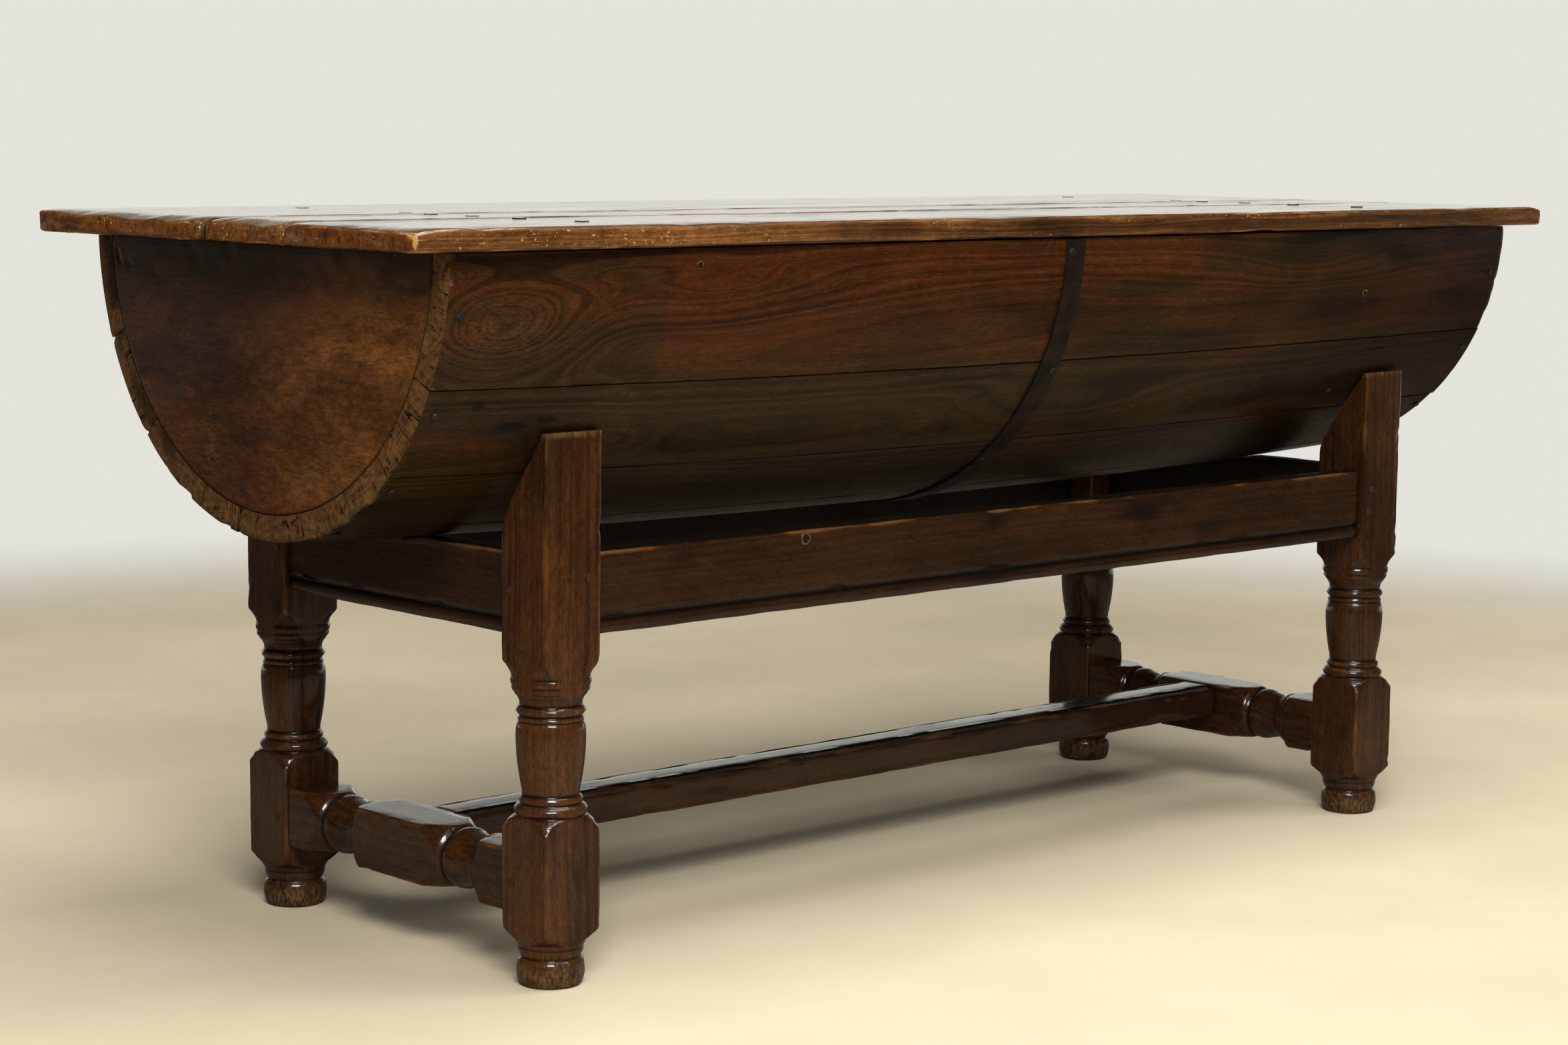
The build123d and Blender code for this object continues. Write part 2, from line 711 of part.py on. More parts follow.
with BuildPart() as barrel_clearance:
    with BuildSketch(radial_plane(0)):
        with BuildLine():
            left_end, right_end = barrel_line(-cradle_gap)
            Polyline(right_end, (half, 0), (-half, 0), left_end)
        make_face()
    revolve(axis=barrel_axis, revolution_arc=180)

for name, sy in (("front", -1), ("back", 1)):
    with BuildPart() as rail:
        plane = Plane(origin=(stand_x - post_inside_x, sy * rail_face_y, 0),
                      x_dir=(0, sy, 0), z_dir=(sy, 0, 0))
        extrude(rail_section(plane), amount=sy * 2 * post_inside_x)
        add(long_rail_tenon(-1, sy, 0))
        add(long_rail_tenon(1, sy, 0))
        for side in ("left", "right"):
            add(peg_holes[f"{name}_{side}"], mode=Mode.SUBTRACT)
    write(rail, f"rail_{name}")

for name, sx in (("left", -1), ("right", 1)):
    with BuildPart() as rail:
        plane = Plane(origin=(stand_x + sx * rail_face_x, post_inside_y, 0),
                      x_dir=(sx, 0, 0), z_dir=(0, -sx, 0))
        extrude(rail_section(plane), amount=sx * 2 * post_inside_y)
        add(end_rail_tenon(sx, -1, 0))
        add(end_rail_tenon(sx, 1, 0))
        add(barrel_clearance.part, mode=Mode.SUBTRACT)
        for place in ("front", "back"):
            add(peg_holes[f"{place}_{name}"], mode=Mode.SUBTRACT)
    write(rail, f"rail_{name}")


# One turned stretch between two blocks, from its front end; it runs the same way twice.
stretcher_half = stretcher_size / 2
stretcher_corner = stretcher_half * sqrt(2) + 0.5
stretcher_ring = stretcher_half - ring_inset
stretcher_beads = [
    (stretcher_corner, 0, 0),
    (stretcher_half + 3, 6, 0),
    (stretcher_ring - 2, 11, 0),
    (stretcher_ring, 14, 0),
    (stretcher_ring - 2, 18, 0),
    (stretcher_ring - 0.5, 21, 0),
    (stretcher_ring - 3, 24, 0),
    (stretcher_ring - 6, 26, 0),
    (stretcher_ring - 5, 40, 0),
    (stretcher_ring - 2, 48, bulb_swell),
    (stretcher_ring - 2, 69, 0),
    (stretcher_ring, 72, 0),
    (stretcher_ring, 75, 0),
    (stretcher_ring - 2, 78, 0),
    (stretcher_half + 3, 83, 0),
    (stretcher_corner, stretcher_turning, 0),
]
turning_starts = (-post_inside_y + stretcher_end_block,
                  post_inside_y - stretcher_end_block - stretcher_turning)
stretcher_outline = (
    [(stretcher_corner, -post_inside_y, 0)]
    + [(radius, start + along, swell)
       for start in turning_starts for radius, along, swell in stretcher_beads]
    + [(stretcher_corner, post_inside_y, 0)]
)

for name, sx in (("left", -1), ("right", 1)):
    centre_x = stand_x + sx * leg_span_x / 2
    axis = Axis((centre_x, 0, stretcher_axis_z), (0, 1, 0))
    with BuildPart() as stretcher:
        revolve(turned_outline(Plane.XY.offset(stretcher_axis_z).move(Location((centre_x, 0, 0))),
                               stretcher_outline), axis=axis)
        with BuildSketch(Plane(origin=(centre_x, post_inside_y, stretcher_axis_z), x_dir=(1, 0, 0),
                               z_dir=(0, -1, 0))) as stock:
            RectangleRounded(stretcher_size, stretcher_size, stretcher_ease)
        extrude(stock.sketch, amount=2 * post_inside_y, mode=Mode.INTERSECT)
        add(stretcher_tenon(sx, -1, 0))
        add(stretcher_tenon(sx, 1, 0))
        add(long_tenon(sx, tenon_gap), mode=Mode.SUBTRACT)
        for place in ("front", "back"):
            add(peg_holes[f"{place}_{name}"], mode=Mode.SUBTRACT)
    write(stretcher, f"stretcher_{name}")

long_face = leg_span_x / 2 - stretcher_size / 2
long_top = stretcher_axis_z + stretcher_size / 2 - long_drop


def long_moulding_side(sign):
    """One side of the long stretcher: an outer bead, then a hollow up to the flat top."""
    outer = sign * long_width / 2
    bead_end = sign * (long_width / 2 - long_bead)
    bead_middle = (outer + bead_end) / 2
    flat_edge = sign * (long_width / 2 - long_moulding)
    hollow_middle = flat_edge + sign * (long_moulding - long_bead) / 2
    low = long_top - 2 * long_bead_step
    Polyline((0, long_top - long_height), (outer, long_top - long_height), (outer, low))
    ThreePointArc((outer, low), (bead_middle, low + long_bead_step), (bead_end, low))
    ThreePointArc((bead_end, low), (hollow_middle, low + long_hollow_rise),
                  (flat_edge, low + long_bead_step))
    Polyline((flat_edge, low + long_bead_step), (flat_edge, long_top), (0, long_top))


with BuildPart() as stretcher_long:
    with BuildSketch(Plane.YZ.offset(stand_x - long_face)):
        with BuildLine():
            long_moulding_side(-1)
            long_moulding_side(1)
        make_face()
    extrude(amount=2 * long_face)
    add(long_tenon(-1, 0))
    add(long_tenon(1, 0))
write(stretcher_long, "stretcher_long")
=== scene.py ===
import bpy
import json
import math
import numpy as np
from mathutils import Matrix, Vector

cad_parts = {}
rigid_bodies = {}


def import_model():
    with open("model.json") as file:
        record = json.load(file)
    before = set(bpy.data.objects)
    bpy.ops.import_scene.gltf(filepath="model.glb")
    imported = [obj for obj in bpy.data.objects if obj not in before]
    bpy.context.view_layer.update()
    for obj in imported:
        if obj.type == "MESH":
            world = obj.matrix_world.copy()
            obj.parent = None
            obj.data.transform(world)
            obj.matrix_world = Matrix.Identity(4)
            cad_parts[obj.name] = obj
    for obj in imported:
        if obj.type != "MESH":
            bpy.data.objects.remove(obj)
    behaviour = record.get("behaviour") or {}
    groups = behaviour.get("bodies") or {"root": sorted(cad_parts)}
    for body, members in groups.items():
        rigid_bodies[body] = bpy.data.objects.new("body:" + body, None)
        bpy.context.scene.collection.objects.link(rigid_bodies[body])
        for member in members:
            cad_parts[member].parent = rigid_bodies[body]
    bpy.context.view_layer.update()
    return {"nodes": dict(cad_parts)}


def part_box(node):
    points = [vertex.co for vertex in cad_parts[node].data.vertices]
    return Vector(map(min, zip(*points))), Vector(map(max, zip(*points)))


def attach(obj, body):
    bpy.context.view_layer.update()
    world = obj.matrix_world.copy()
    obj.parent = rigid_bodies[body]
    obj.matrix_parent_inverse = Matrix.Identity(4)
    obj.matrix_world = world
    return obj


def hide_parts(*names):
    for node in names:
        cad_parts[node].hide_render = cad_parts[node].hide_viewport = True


for thing in list(bpy.data.objects):
    bpy.data.objects.remove(thing)
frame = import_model()
nodes = frame["nodes"]
mm = 0.001
print("frame loaded:", len(nodes), "nodes")


# Sizes inside the making of a piece are millimetres along its own length, width and thickness.
def hashAt(i, j, k, seed):
    h = (i * 73856093) ^ (j * 19349663) ^ (k * 83492791) ^ (seed * 40503 + 977)
    h = ((h ^ (h >> 13)) * 1274126177) & 0x7FFFFFFF
    return ((h ^ (h >> 15)) & 0xFFFF) / 65535.0


def softNoise(points, size, seed=0):  # smooth noise, 0 to 1; size is one number or one for each direction
    q = points / np.asarray(size, float)
    cell = np.floor(q).astype(np.int64)
    t = q - cell
    t = t * t * (3 - 2 * t)
    total = np.zeros(len(points))
    for corner in range(8):
        pick = [(corner >> axis) & 1 for axis in range(3)]
        weight = np.ones(len(points))
        for axis in range(3):
            weight = weight * (t[:, axis] if pick[axis] else 1 - t[:, axis])
        total += weight * hashAt(*(cell + pick).T, seed)
    return total


def roughNoise(points, size, seed=0):  # three sizes of soft noise added up, still from 0 to 1
    size = np.asarray(size, float)
    return (4 * softNoise(points, size, seed) + 2 * softNoise(points, size / 2.1, seed + 1)
            + softNoise(points, size / 4.3, seed + 2)) / 7


def fadeIn(low, high, value):  # 0 up to low, 1 from high on
    t = np.clip((value - low) / (high - low), 0, 1)
    return t * t * (3 - 2 * t)


def fadeOut(low, high, value):
    return 1 - fadeIn(low, high, value)


def patchy(points, patch, seed=0):  # patch is the size of the noise, its seed and where it fades in
    size, ownSeed, low, high = patch
    return fadeIn(low, high, roughNoise(points, size, seed + ownSeed))


def softSpot(along, across, spot):  # spot starts with its place along and across and its reach both ways
    return np.exp(-((along - spot[0]) / spot[2]) ** 2 - ((across - spot[1]) / spot[3]) ** 2)


def most(*layers):  # the strongest of several marks
    return np.maximum.reduce(np.broadcast_arrays(*layers))


def smoothMin(a, b, width):
    h = np.clip(0.5 + 0.5 * (b - a) / width, 0, 1)
    return b * (1 - h) + a * h - width * h * (1 - h)


def stations(length, easeStart, easeEnd, step, zone=0.0):  # places along a side, close together at its ends
    turn = 1 - np.tan(np.radians(45) * np.linspace(1, 0, 4))
    pastEase, zoneStep = 1.6, 2.6
    ends = []
    for ease in (easeStart, easeEnd):
        end = [*(ease * turn), ease * pastEase]
        if zone:
            end += np.linspace(end[-1], zone, round(zone / zoneStep) + 1)[1:].tolist()
        ends.append(end)
    start, end = ends
    count = max(1, round((length - start[-1] - end[-1]) / step))
    middle = np.linspace(start[-1], length - end[-1], count + 1)[1:-1]
    return np.array([*start, *middle, *[length - s for s in reversed(end)]])


def blockShell(xs, ys, zs):  # shell of a block as shared points and quads that face outwards
    shape = (len(xs), len(ys), len(zs))
    shell = np.zeros(shape, bool)
    shell[[0, -1]] = True
    shell[:, [0, -1]] = True
    shell[:, :, [0, -1]] = True
    index = np.full(shape, -1)
    index[shell] = np.arange(shell.sum())
    i, j, k = np.nonzero(shell)
    faces = []
    for axis in range(3):
        for end in (0, -1):
            side = np.take(index, end, axis)
            quads = np.stack([side[:-1, :-1], side[1:, :-1], side[1:, 1:], side[:-1, 1:]], -1).reshape(-1, 4)
            faces.append(quads[:, ::-1] if (end == 0) != (axis == 1) else quads)
    return np.stack([xs[i], ys[j], zs[k]], 1), np.concatenate(faces)


def addPiece(name, points, faces, material, body, slot, replaced, marks):
    mesh = bpy.data.meshes.new(name)
    mesh.from_pydata(points.tolist(), [], [list(map(int, face)) for face in faces])
    mesh.polygons.foreach_set("use_smooth", [True] * len(mesh.polygons))
    for key, values in marks.items():
        vector = values.ndim == 2
        field = mesh.attributes.new(key, "FLOAT_VECTOR" if vector else "FLOAT", "POINT")
        field.data.foreach_set("vector" if vector else "value", values.astype(np.float32).ravel())
    mesh.materials.append(material)
    mesh.update()
    piece = bpy.data.objects.new(name, mesh)
    bpy.context.scene.collection.objects.link(piece)
    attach(piece, body)
    if replaced:
        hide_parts(*replaced)


# Wear of a squared piece where its maker says nothing else; depths and reaches in millimetres.
blockWear = {"face": 0.3, "faceSize": (90, 30, 30), "arris": 1.0, "arrisSize": (46, 30, 30), "arrisWidth": 7,
             "chip": 0.8, "chipSize": 11, "chipWidth": 5, "chipFrom": 0.66, "zone": 0, "dings": ()}


def wornBlock(size, eases, steps, wear, seed):
    # One squared piece of wood: eases are (ends, start side, end side, faces); wear only takes wood away.
    wear = blockWear | wear
    length, width, thick = size
    endEase, sideA, sideB, faceEase = eases
    points, faces = blockShell(stations(length, endEase, endEase, steps[0], wear["zone"]),
                               stations(width, sideA, sideB, steps[1]),
                               stations(thick, faceEase, faceEase, steps[2]))
    low = np.tile(np.array([endEase, sideA, faceEase], float), (len(points), 1))
    high = low.copy()
    high[:, 1] = sideB
    for side, ease in ((points[:, 1], sideA), (width - points[:, 1], sideB)):
        low[:, 2] = np.minimum(low[:, 2], ease + (faceEase - ease) * fadeIn(0, 12, side))
    high[:, 2] = low[:, 2]
    extent = np.array(size, float)
    inner = np.clip(points, low, extent - high)
    ease = np.where(points < extent / 2, low, high)
    way = (points - inner) / ease
    normal = way / np.maximum(np.linalg.norm(way, axis=1, keepdims=True), 1e-9)
    away = np.sort(np.minimum(points, extent - points), axis=1)[:, 1]
    arris = fadeOut(0, wear["arrisWidth"], away)  # 1 on an arris, 0 on the open faces
    place = points + seed * 613.7
    depth = wear["face"] * roughNoise(place, wear["faceSize"], seed)
    depth += wear["arris"] * arris * roughNoise(place, wear["arrisSize"], seed + 7) ** 2 * 2
    chips = fadeIn(wear["chipFrom"], wear["chipFrom"] + 0.1, softNoise(place, wear["chipSize"], seed + 21))
    tight = fadeOut(0, wear["chipWidth"], away)
    depth += wear["chip"] * tight * chips
    for u, v, w, reach, deep in wear["dings"]:
        depth += deep * np.exp(-np.sum((points - np.array([u, v, w])) ** 2, axis=1) / reach**2)
    worn = inner + normal * ease - normal * depth[:, None]
    atEnd = fadeOut(0, 1.5, np.minimum(points[:, 0], length - points[:, 0]))
    return worn, faces, arris, atEnd, points, tight * chips


# Lens and stand point of the view, in metres, millimetres and degrees.
camera = {"place": (-2.596, -2.692, 0.848), "lens": 75.519, "sensor": 36.0, "yaw": 42.698, "pitch": 7.052,
          "roll": 0.547, "near": 0.05, "far": 60}


def addCamera():
    yaw, pitch, roll = (math.radians(camera[key]) for key in ("yaw", "pitch", "roll"))
    ahead = Vector((math.sin(yaw) * math.cos(pitch), math.cos(yaw) * math.cos(pitch), -math.sin(pitch)))
    level = Vector((math.cos(yaw), -math.sin(yaw), 0))
    upright = level.cross(ahead)
    side = math.cos(roll) * level + math.sin(roll) * upright
    up = math.cos(roll) * upright - math.sin(roll) * level
    data = bpy.data.cameras.new("view")
    data.lens = camera["lens"]
    data.sensor_width = camera["sensor"]
    data.clip_start = camera["near"]
    data.clip_end = camera["far"]
    view = bpy.data.objects.new("view", data)
    turn = Matrix((side, up, -ahead)).transposed().to_4x4()
    view.matrix_world = Matrix.Translation(camera["place"]) @ turn
    bpy.context.scene.collection.objects.link(view)
    bpy.context.scene.camera = view


addCamera()
print("camera placed")


# Short ways to place shader nodes and to wire them.
def put(tree, kind, inputs=None, **settings):
    made = tree.nodes.new("ShaderNode" + kind)
    for key, value in settings.items():
        setattr(made, key, value)
    for key, value in (inputs or {}).items():
        if isinstance(value, bpy.types.NodeSocket):
            tree.links.new(value, made.inputs[key])
        else:
            made.inputs[key].default_value = value
    return made


def treeOf(*values):  # the node tree that the sockets among these values belong to
    return next(value.id_data for value in values if isinstance(value, bpy.types.NodeSocket))


def calc(operation, a, b=0.0, clamp=False):
    return put(treeOf(a, b), "Math", {0: a, 1: b}, operation=operation, use_clamp=clamp).outputs[0]


def plus(a, b, clamp=False):
    return calc("ADD", a, b, clamp)


def minus(a, b, clamp=False):
    return calc("SUBTRACT", a, b, clamp)


def times(a, b):
    return calc("MULTIPLY", a, b)


def spread(value, low, high, toLow=0.0, toHigh=1.0):  # a value between low and high, smoothly mapped
    inputs = {"Value": value, "From Min": low, "From Max": high, "To Min": toLow, "To Max": toHigh}
    return put(treeOf(value), "MapRange", inputs, interpolation_type="SMOOTHSTEP").outputs[0]


def mixColour(factor, a, b, mode="MIX"):
    inputs = {0: factor, 6: a, 7: b}
    return put(treeOf(factor, a, b), "Mix", inputs, data_type="RGBA", blend_type=mode).outputs[2]


def stretched(vector, scale):
    return put(treeOf(vector), "VectorMath", {0: vector, 1: scale}, operation="MULTIPLY").outputs[0]


def noise(vector, scale, detail=2.0, roughness=0.5, distortion=0.0):
    inputs = {"Vector": stretched(vector, scale), "Scale": 1.0, "Detail": detail,
              "Roughness": roughness, "Distortion": distortion}
    return put(treeOf(vector), "TexNoise", inputs).outputs["Fac"]


def hairline(value, inner, outer):  # thin lines where a noise crosses its middle
    return spread(calc("ABSOLUTE", minus(value, 0.5)), inner, outer, 1.0, 0.0)


def newGroup(name, inputs):
    tree = bpy.data.node_groups.new(name, "ShaderNodeTree")
    for label, value in inputs.items():
        kind = "NodeSocketVector" if value is None else "NodeSocketFloat"
        socket = tree.interface.new_socket(label, in_out="INPUT", socket_type=kind)
        if value is not None:
            socket.default_value = value
    return tree, tree.nodes.new("NodeGroupInput").outputs


def finishGroup(tree, outputs):
    for label in outputs:
        tree.interface.new_socket(label, in_out="OUTPUT", socket_type="NodeSocketFloat")
    result = tree.nodes.new("NodeGroupOutput").inputs
    for label, value in outputs.items():
        tree.links.new(value, result[label])
    return tree


def useGroup(tree, group, inputs):
    return put(tree, "Group", inputs, node_tree=group).outputs


def makeGrainGroup():  # rings round a pith that runs along x, fibres, pores and a cross ripple
    tree, given = newGroup("timber grain", {"Place": None, "Ring Width": 6.0, "Warp": 26.0, "Ripple": 22.0})
    place = given["Place"]
    bend = noise(place, (0.0022, 0.011, 0.011), 2.0)
    parts = put(tree, "SeparateXYZ", {0: place}).outputs
    squares = plus(times(parts[1], parts[1]), times(parts[2], parts[2]))
    out = plus(calc("POWER", squares, 0.5), times(bend, given["Warp"]))
    counted = calc("DIVIDE", out, given["Ring Width"])
    inputs = {"W": counted, "Scale": 1.0, "Detail": 3.0, "Roughness": 0.6}
    rings = spread(put(tree, "TexNoise", inputs, noise_dimensions="1D").outputs["Fac"], 0.36, 0.62)
    fibre = noise(place, (0.022, 0.75, 0.75), 4.0, 0.62)
    pores = spread(noise(place, (0.085, 1.5, 1.5), 1.0), 0.6, 0.7)
    sway = noise(place, (0.004, 0.02, 0.02), 2.0)
    along = plus(calc("DIVIDE", parts[0], given["Ripple"]), times(sway, 16.0))
    wave = calc("SINE", times(along, 6.283))
    gate = spread(noise(place, (0.006, 0.012, 0.012), 1.0), 0.42, 0.62)
    ripple = plus(times(times(wave, gate), 0.5), 0.5)
    height = plus(times(fibre, 0.5), times(rings, 0.35))
    height = minus(height, times(pores, 0.45))
    return finishGroup(tree, {
        "Rings": rings, "Fibre": fibre, "Pores": pores, "Ripple": ripple, "Height": height})


def makePatinaGroup():  # clouds of darker wax, mottling, dust, scratches and splits
    tree, given = newGroup("old wax", {"Place": None, "Scratches": 0.5, "Checks": 0.3, "Flecks": 0.3})
    place = given["Place"]
    saw = noise(place, (0.01, 0.42, 0.06), 4.0, 0.65)
    opened = hairline(noise(place, (0.006, 0.05, 0.008), 3.0), 0.004, 0.012)
    seldom = spread(noise(place, (0.004, 0.018, 0.05), 1.0), 0.5, 0.56)
    clouds = noise(place, (0.0045, 0.011, 0.011), 4.0, 0.6, 0.6)
    lines = None
    for angle, scale in ((0.35, (0.011, 0.33, 0.33)), (1.15, (0.02, 0.26, 0.26)), (-0.8, (0.014, 0.3, 0.3))):
        turned = put(tree, "VectorRotate", {"Vector": place, "Angle": angle, "Axis": (0, 0.5, 1)}).outputs[0]
        line = hairline(noise(turned, scale, 0.0), 0.004, 0.013)
        lines = line if lines is None else calc("MAXIMUM", lines, line)
    gateStart = minus(0.78, times(given["Scratches"], 0.3))
    gate = spread(noise(place, (0.014, 0.03, 0.03), 3.0), gateStart, 0.82)
    split = hairline(noise(place, (0.0032, 0.085, 0.085), 1.0), 0.003, 0.011)
    fewStart = minus(0.72, times(given["Checks"], 0.3))
    few = spread(noise(place, (0.0042, 0.02, 0.02), 2.0), fewStart, 0.76)
    dots = noise(place, (0.2, 0.34, 0.34), 2.0, 0.6)
    dotGate = minus(noise(place, (0.011, 0.024, 0.024), 2.0), 0.5)
    dotStart = minus(0.80, times(given["Flecks"], 0.16))
    dotsHere = plus(dots, times(dotGate, 0.35))
    return finishGroup(tree, {
        "Clouds": spread(clouds, 0.32, 0.68),
        "Mottle": noise(place, (0.05, 0.11, 0.11), 5.0, 0.7),
        "Speckle": noise(place, (0.16, 0.42, 0.42), 3.0, 0.7),
        "Scratches": times(lines, gate),
        "Checks": times(split, few),
        "Flecks": spread(dotsHere, dotStart, plus(dotStart, 0.05)),
        "Saw": spread(saw, 0.3, 0.7),
        "Splits": times(opened, seldom)})


def makeWearGroup():  # rubbed arrises, broken up by the grain
    tree, given = newGroup("rubbed arris", {"Place": None, "Arris": 0.0, "Reach": 0.5})
    broken = minus(noise(given["Place"], (0.03, 0.16, 0.16), 5.0, 0.68), 0.5)
    patch = spread(noise(given["Place"], (0.011, 0.016, 0.016), 2.0), 0.4, 0.62, 0.35, 1.0)
    lifted = plus(times(given["Arris"], patch), times(broken, 1.3))
    start = minus(1.05, given["Reach"])
    return finishGroup(tree, {
        "Worn": spread(lifted, start, plus(start, 0.4)),
        "Bare": spread(lifted, plus(start, 0.3), plus(start, 0.6))})


groups = {"grain": makeGrainGroup(), "patina": makePatinaGroup(), "wear": makeWearGroup()}


def colour(rgb):
    return (*rgb, 1.0)


def makeWood(name, look):
    # Vertex marks: grainPlace in millimetres, tone = (second colour, grime and painted shade, dry), arris and
    # endGrain 0 to 1. On the end boards the second colour also carries painted light, and on the far legs
    # painted shade.
    material = bpy.data.materials.new(name)
    material.use_nodes = True
    tree = material.node_tree
    shader = tree.nodes["Principled BSDF"]

    def mark(key, output):
        return put(tree, "Attribute", attribute_name=key).outputs[output]

    def over(body, factor, key):  # one colour of the look laid over the body
        return mixColour(factor, body, colour(look[key]))

    place, arris, endGrain = mark("grainPlace", "Vector"), mark("arris", "Fac"), mark("endGrain", "Fac")
    second, dirtAndShade, dust = put(tree, "SeparateXYZ", {0: mark("tone", "Vector")}).outputs
    grain = useGroup(tree, groups["grain"], {"Place": place, "Ring Width": look["ringWidth"],
                                             "Warp": look["warp"], "Ripple": look["ripple"]})
    patina = useGroup(tree, groups["patina"], {"Place": place, "Scratches": look["scratches"],
                                               "Checks": look["checks"], "Flecks": look["flecks"]})
    wear = useGroup(tree, groups["wear"], {"Place": place, "Arris": arris, "Reach": look["wearReach"]})

    figure = plus(times(grain["Rings"], look["figure"]),
                  times(patina["Clouds"], 1 - look["figure"]))
    body = mixColour(figure, colour(look["dark"]), colour(look["light"]))
    redder = mixColour(figure, colour(look["dark2"]), colour(look["light2"]))
    body = mixColour(second, body, redder)
    level = None
    for value, low, high, key in (
            (grain["Fibre"], 0.25, 0.75, "fibre"), (grain["Ripple"], 0.0, 1.0, "rippleDepth"),
            (patina["Mottle"], 0.3, 0.7, "mottle"), (patina["Speckle"], 0.32, 0.68, "speckle")):
        strength = spread(value, low, high, 1 - look[key], 1 + look[key])
        level = strength if level is None else times(level, strength)
    grey = put(tree, "CombineColor", {0: level, 1: level, 2: level}).outputs[0]
    body = mixColour(1.0, body, grey, "MULTIPLY")
    body = over(body, times(grain["Pores"], look["poreShare"]), "pore")
    endTone = plus(times(grain["Rings"], look["endRings"]), times(patina["Saw"], 0.35))
    endTone = plus(endTone, times(spread(patina["Mottle"], 0.34, 0.66), 0.45))
    endBody = mixColour(endTone, colour(look["endDark"]), colour(look["endLight"]))
    endBody = over(endBody, times(patina["Splits"], look["endSplits"]), "pore")
    body = mixColour(endGrain, body, endBody)
    fineSpots = times(patina["Speckle"], 0.6)
    uneven = minus(plus(times(patina["Mottle"], 0.7), fineSpots), 0.65)
    # the grime colour goes on both as real dirt and as painted shade that some pieces mark
    grimeAndShade = spread(plus(dirtAndShade, uneven), 0.1, 0.9, 0.0, 0.93)
    body = over(body, times(grimeAndShade, spread(dirtAndShade, 0.0, 0.08)), "grime")
    dusty = spread(plus(times(patina["Mottle"], 0.4), fineSpots), 0.44, 0.58)
    body = over(body, times(dust, dusty), "dry")
    body = over(body, times(wear["Worn"], look["wornShare"]), "worn")
    body = over(body, times(wear["Bare"], look["bareShare"]), "bare")
    fleckShare = plus(times(endGrain, 0.5), look["fleckShare"], clamp=True)
    fleckShare = times(fleckShare, spread(dirtAndShade, 0.1, 0.5, 1.0, 0.1))
    marks = calc("MAXIMUM", times(patina["Scratches"], look["scratchShare"]),
                 times(patina["Flecks"], fleckShare))
    body = over(body, marks, "bare")
    body = over(body, times(patina["Checks"], 0.9), "pore")
    tree.links.new(body, shader.inputs["Base Color"])

    smooth, matt = look["gloss"] - look["glossSpread"], look["gloss"] + look["glossSpread"]
    rough = spread(patina["Mottle"], 0.3, 0.7, smooth, matt)
    rough = plus(rough, times(minus(grain["Rings"], 0.5), look["streaks"]))
    rough = plus(rough, times(plus(dust, endGrain), 0.25))
    rough = plus(rough, times(patina["Checks"], 0.6), clamp=True)
    tree.links.new(rough, shader.inputs["Roughness"])
    height = times(grain["Height"], spread(endGrain, 0.0, 1.0, 1.0, 0.25))
    height = plus(height, times(patina["Mottle"], look["mottleBump"]))
    height = minus(height, times(patina["Scratches"], 0.5))
    height = minus(height, times(patina["Checks"], 1.6))
    height = plus(height, times(times(endGrain, patina["Mottle"]), 2.0))
    bump = put(tree, "Bump", {"Height": height, "Strength": look["bump"], "Distance": 0.0007})
    tree.links.new(bump.outputs[0], shader.inputs["Normal"])
    dull = times(calc("MAXIMUM", grimeAndShade, endGrain), 0.6)
    waxed = minus(1.0, plus(patina["Checks"], dull), clamp=True)
    tree.links.new(times(waxed, look["coat"]), shader.inputs["Coat Weight"])
    specular = spread(endGrain, 0.0, 1.0, look["specular"], 0.12)
    tree.links.new(specular, shader.inputs["Specular IOR Level"])
    shader.inputs["Coat Roughness"].default_value = look["coatRoughness"]
    shader.inputs["IOR"].default_value = 1.43
    return material


# What each wood looks like; the others say only where they differ from the staves.
woodLook = {
    "ringWidth": 4.2, "warp": 22.0, "ripple": 18.0, "rippleDepth": 0.06, "figure": 0.56, "fibre": 0.22,
    "mottle": 0.18, "speckle": 0.2, "scratches": 0.4, "scratchShare": 0.3, "checks": 0.2, "flecks": 0.2,
    "fleckShare": 0.4, "dark": (0.0125, 0.0068, 0.0020), "light": (0.041, 0.0208, 0.0050),
    "dark2": (0.026, 0.0070, 0.0016), "light2": (0.092, 0.0245, 0.0040), "pore": (0.005, 0.0028, 0.0015),
    "poreShare": 0.4, "endDark": (0.0105, 0.0050, 0.0020), "endLight": (0.200, 0.095, 0.0310),
    "endRings": 0.2, "endSplits": 1.0, "grime": (0.0065, 0.0046, 0.0030), "dry": (0.14, 0.080, 0.027),
    "wearReach": 0.42, "worn": (0.11, 0.040, 0.0105), "wornShare": 0.6, "bare": (0.30, 0.155, 0.052),
    "bareShare": 0.4,
    "gloss": 0.36, "glossSpread": 0.06, "streaks": 0.0, "specular": 0.2, "coat": 0.18, "coatRoughness": 0.2,
    "mottleBump": 0.25, "bump": 0.34}
lidLook = woodLook | {
    "dark": (0.050, 0.0175, 0.0050), "light": (0.140, 0.0560, 0.0155), "dark2": (0.085, 0.0320, 0.0082),
    "light2": (0.24, 0.1000, 0.0280), "endDark": (0.042, 0.0120, 0.0034), "endLight": (0.260, 0.0920, 0.0190),
    "worn": (0.24, 0.094, 0.0240), "bare": (0.52, 0.30, 0.098), "figure": 0.5, "fibre": 0.24, "mottle": 0.34,
    "scratches": 0.8, "scratchShare": 0.5, "checks": 0.8, "flecks": 0.75, "fleckShare": 0.9, "endRings": 0.05,
    "endSplits": 0.25, "wearReach": 0.55, "bareShare": 0.65, "gloss": 0.15, "streaks": 0.34, "specular": 0.5,
    "coat": 0.65, "coatRoughness": 0.08, "bump": 0.4}
